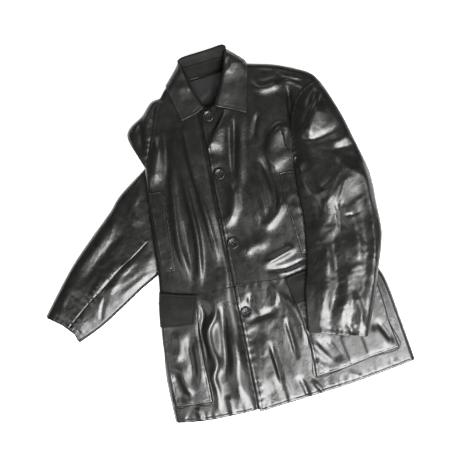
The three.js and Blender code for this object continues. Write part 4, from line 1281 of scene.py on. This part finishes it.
def make_button(number, x, y, turn):
    """A disc with a rounded rim, a dished face and four drilled holes, tied on by crossing threads."""
    loop = circle(BUTTON_RADIUS)
    rings = [closed_up(circle(radius)) for radius in BUTTON_RINGS]
    holes = [closed_up(circle(HOLE_RADIUS, hole, 0.35)) for hole in HOLES]
    xy, faces = fill(loop, 0.85, (0.15, 0.45, 0.9), [])
    xy, faces = fill_dense(loop, xy, rings + holes)
    radius = np.hypot(xy[:, 0], xy[:, 1])
    z = np.interp(radius, *BUTTON_FRONT)
    for hole in HOLES:
        inner = np.hypot(xy[:, 0] - hole[0], xy[:, 1] - hole[1])
        z = z - HOLE_DEPTH * (1 - ease(inner, HOLE_RADIUS - 0.35, HOLE_RADIUS + 0.15))
    back = np.interp(radius, *BUTTON_BACK)
    c, s = math.cos(turn), math.sin(turn)
    placed = np.column_stack([x + xy[:, 0] * c - xy[:, 1] * s, y + xy[:, 0] * s + xy[:, 1] * c])
    base = low(f"button_{number}")
    piece = closed_solid(f"button_{number}_disc", placed, base + z, base + back, faces, RESIN)
    finish_piece(piece, f"button_{number}", [f"button_{number}"])
    bars = []
    for a, b in ((HOLES[0], HOLES[3]), (HOLES[1], HOLES[2])):
        ends = [np.array([x + h[0] * c - h[1] * s, y + h[0] * s + h[1] * c]) for h in (a, b)]
        bars.append(arc_thread(ends[0], ends[1], base + 1.4, base + 2.9, 0.45))
    thread_object(f"button_{number}_thread", f"button_{number}", bars)


def fill_dense(loop, points, lines):
    """Triangles over an outline through given points and, exactly, through closed lines."""
    border = np.vstack([loop, apart(points, loop, 0.1)])
    extra = np.vstack([line[:-1] for line in lines])
    rest = apart(border[len(loop):], np.vstack([loop, extra]), 0.3)
    everything = np.vstack([loop, extra, rest])
    filled = geometry.delaunay_2d_cdt([Vector(p) for p in everything], [], [list(range(len(loop)))], 1, 1e-6)
    flat = np.array([(v.x, v.y) for v in filled[0]])
    faces = np.array([f for f in filled[2] if len(f) == 3])
    return flat, upward(flat, faces)


def closed_solid(name, xy, top, bottom, faces, material):
    count = len(xy)
    points = np.vstack([np.column_stack([xy, top]), np.column_stack([xy, bottom])])
    return make_object(name, points, with_rim(faces, count), material)


def arc_thread(a, b, low_z, high_z, radius):
    t = np.linspace(0, 1, 9)
    z = low_z + (high_z - low_z) * np.sin(math.pi * t) ** 0.4
    return tube(np.column_stack([a + (b - a) * t[:, None], z]), np.full(9, radius), 8)


def tube(path, radii, sides):
    """Points and faces of a round thread along a path."""
    along = np.gradient(path, axis=0)
    along /= np.linalg.norm(along, axis=1)[:, None]
    across = np.cross(along, (0.0, 0.0, 1.0))
    size = np.linalg.norm(across, axis=1)
    across = np.where(size[:, None] > 1e-3, across / np.maximum(size, 1e-3)[:, None], (1.0, 0.0, 0.0))
    up = np.cross(across, along)
    angles = np.linspace(0, 2 * math.pi, sides, endpoint=False)
    c, s = (turn(angles)[None, :, None] for turn in (np.cos, np.sin))
    ring = c * across[:, None, :] + s * up[:, None, :]
    points = path[:, None, :] + radii[:, None, None] * ring
    faces = []
    for i in range(len(path) - 1):
        for j in range(sides):
            k = (j + 1) % sides
            faces.append((i * sides + j, i * sides + k, (i + 1) * sides + k, (i + 1) * sides + j))
    faces.append(tuple(range(sides))[::-1])
    faces.append(tuple((len(path) - 1) * sides + j for j in range(sides)))
    return points.reshape(-1, 3), faces


def thread_object(name, body, tubes, blend=None):
    points, faces, start = [], [], 0
    for tube_points, tube_faces in tubes:
        points.append(tube_points)
        faces += [tuple(i + start for i in face) for face in tube_faces]
        start += len(tube_points)
    piece = make_object(name, np.vstack(points), faces, THREAD)
    finish_piece(piece, body, [])
    if blend:
        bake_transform(piece)


STITCH = 3.0
STITCH_GAP = 0.9
STITCH_BOW = 0.12  # how far a stitch stands out in its middle and sinks in at its ends
STITCH_RADII = np.array([0.14, 0.24, 0.14])


def stitches(name, body, surface, lines, blend=None):
    """A row of short threads along each line, pulled a little into the leather at both ends."""
    places = []
    for line in lines:
        points = smooth(line, STITCH + STITCH_GAP)
        share = STITCH / (STITCH + STITCH_GAP)
        for a, b in zip(points[:-1], points[1:]):
            places.append((a, a + (b - a) * share / 2, a + (b - a) * share))
    places = np.array(places)
    bow = STITCH_BOW * np.array([-1, 1, -1])
    z = surface(places.reshape(-1, 2)).reshape(-1, 3) + bow
    tubes = [tube(np.column_stack([xy, heights]), STITCH_RADII, 5) for xy, heights in zip(places, z)]
    thread_object(name, body, tubes, blend)


# ---- Assembly ----------------------------------------------------------------------------------------
front_surfaces = make_fronts()
make_sides(front_surfaces)
make_back()
make_linings()
make_welts()
make_patch_pockets()
make_left_sleeve()
make_right_sleeve()
make_cap()
head_roll("left_head_roll", "left_sleeve_head_roll", [(288, 278), (257, 249), (243, 208)], 25.4)
head_roll("right_head_roll", "right_sleeve_head_roll", [(-116, 200), (-104, 244), (-86, 280)], 17.5)
make_collar()
for number, ((x, y), turn) in enumerate(zip(BUTTONS, (0.3, 1.1, 0.7, 0.2)), start=1):
    make_button(number, x, y, turn)
    shank = bpy.data.objects[f"button_{number}_thread_shank"]
    shank.material_slots[0].material = THREAD
    bpy.data.objects[f"button_{number}_stay_button"].material_slots[0].material = RESIN

# ---- Camera and light --------------------------------------------------------------------------------
CAMERA_HEIGHT = 2.225
LENS = 78.2
PHOTO_TURN = math.radians(11)
VIEW_CENTRE = (0.045, 0.002)

camera_data = bpy.data.cameras.new("camera")
camera_data.lens = LENS
camera = bpy.data.objects.new("camera", camera_data)
camera.location = (*VIEW_CENTRE, CAMERA_HEIGHT)
camera.rotation_euler = (0, 0, -PHOTO_TURN)
bpy.context.scene.collection.objects.link(camera)
bpy.context.scene.camera = camera


def area_light(name, place, aim, size, power):
    data = bpy.data.lights.new(name, "AREA")
    data.shape = "RECTANGLE"
    data.size, data.size_y = size
    data.energy = power
    light = bpy.data.objects.new(name, data)
    light.location = place
    light.rotation_euler = (Vector(aim) - Vector(place)).to_track_quat("-Z", "Y").to_euler()
    bpy.context.scene.collection.objects.link(light)


area_light("window", (0.48, -1.0, 1.35), (0.1, -0.1, 0), (1.4, 0.95), 86)
area_light("soft_right", (1.0, -0.25, 1.35), (0.1, -0.05, 0), (0.35, 0.9), 5)
area_light("soft_left", (-0.9, -0.45, 1.35), (0, -0.05, 0), (0.35, 0.9), 4)
area_light("soft_top", (0.0, 1.5, 1.7), (0, 0, 0), (1.2, 0.5), 6)

world = bpy.data.worlds.new("studio")
world.use_nodes = True
sky = world.node_tree
height_in_sky = add_node(sky, "ShaderNodeSeparateXYZ")
sky.links.new(sky.nodes.new("ShaderNodeTexCoord").outputs["Generated"], height_in_sky.inputs[0])
sky_color = ramp(sky, height_in_sky.outputs["Z"], [(0.02, grey(0.80)), (0.20, grey(0.155))])
sky.links.new(sky_color.outputs["Color"], sky.nodes["Background"].inputs["Color"])
bpy.context.scene.world = world
bpy.context.scene.view_settings.view_transform = "Standard"
bpy.context.scene.view_settings.gamma = 0.92

floor_material, floor_tree, floor_shader = new_material("pale_paper")
floor_shader.inputs["Base Color"].default_value = (0.9, 0.9, 0.9, 1)
floor_shader.inputs["Roughness"].default_value = 0.9
floor_shader.inputs["Emission Color"].default_value = (1, 1, 1, 1)
floor_shader.inputs["Emission Strength"].default_value = 0.8
floor_mesh = bpy.data.meshes.new("floor")
FLOOR = 4.0
corners = [(-FLOOR, -FLOOR, 0), (FLOOR, -FLOOR, 0), (FLOOR, FLOOR, 0), (-FLOOR, FLOOR, 0)]
floor_mesh.from_pydata(corners, [], [(0, 1, 2, 3)])
floor_mesh.materials.append(floor_material)
floor = bpy.data.objects.new("floor", floor_mesh)
floor.location.z = -0.0005
bpy.context.scene.collection.objects.link(floor)
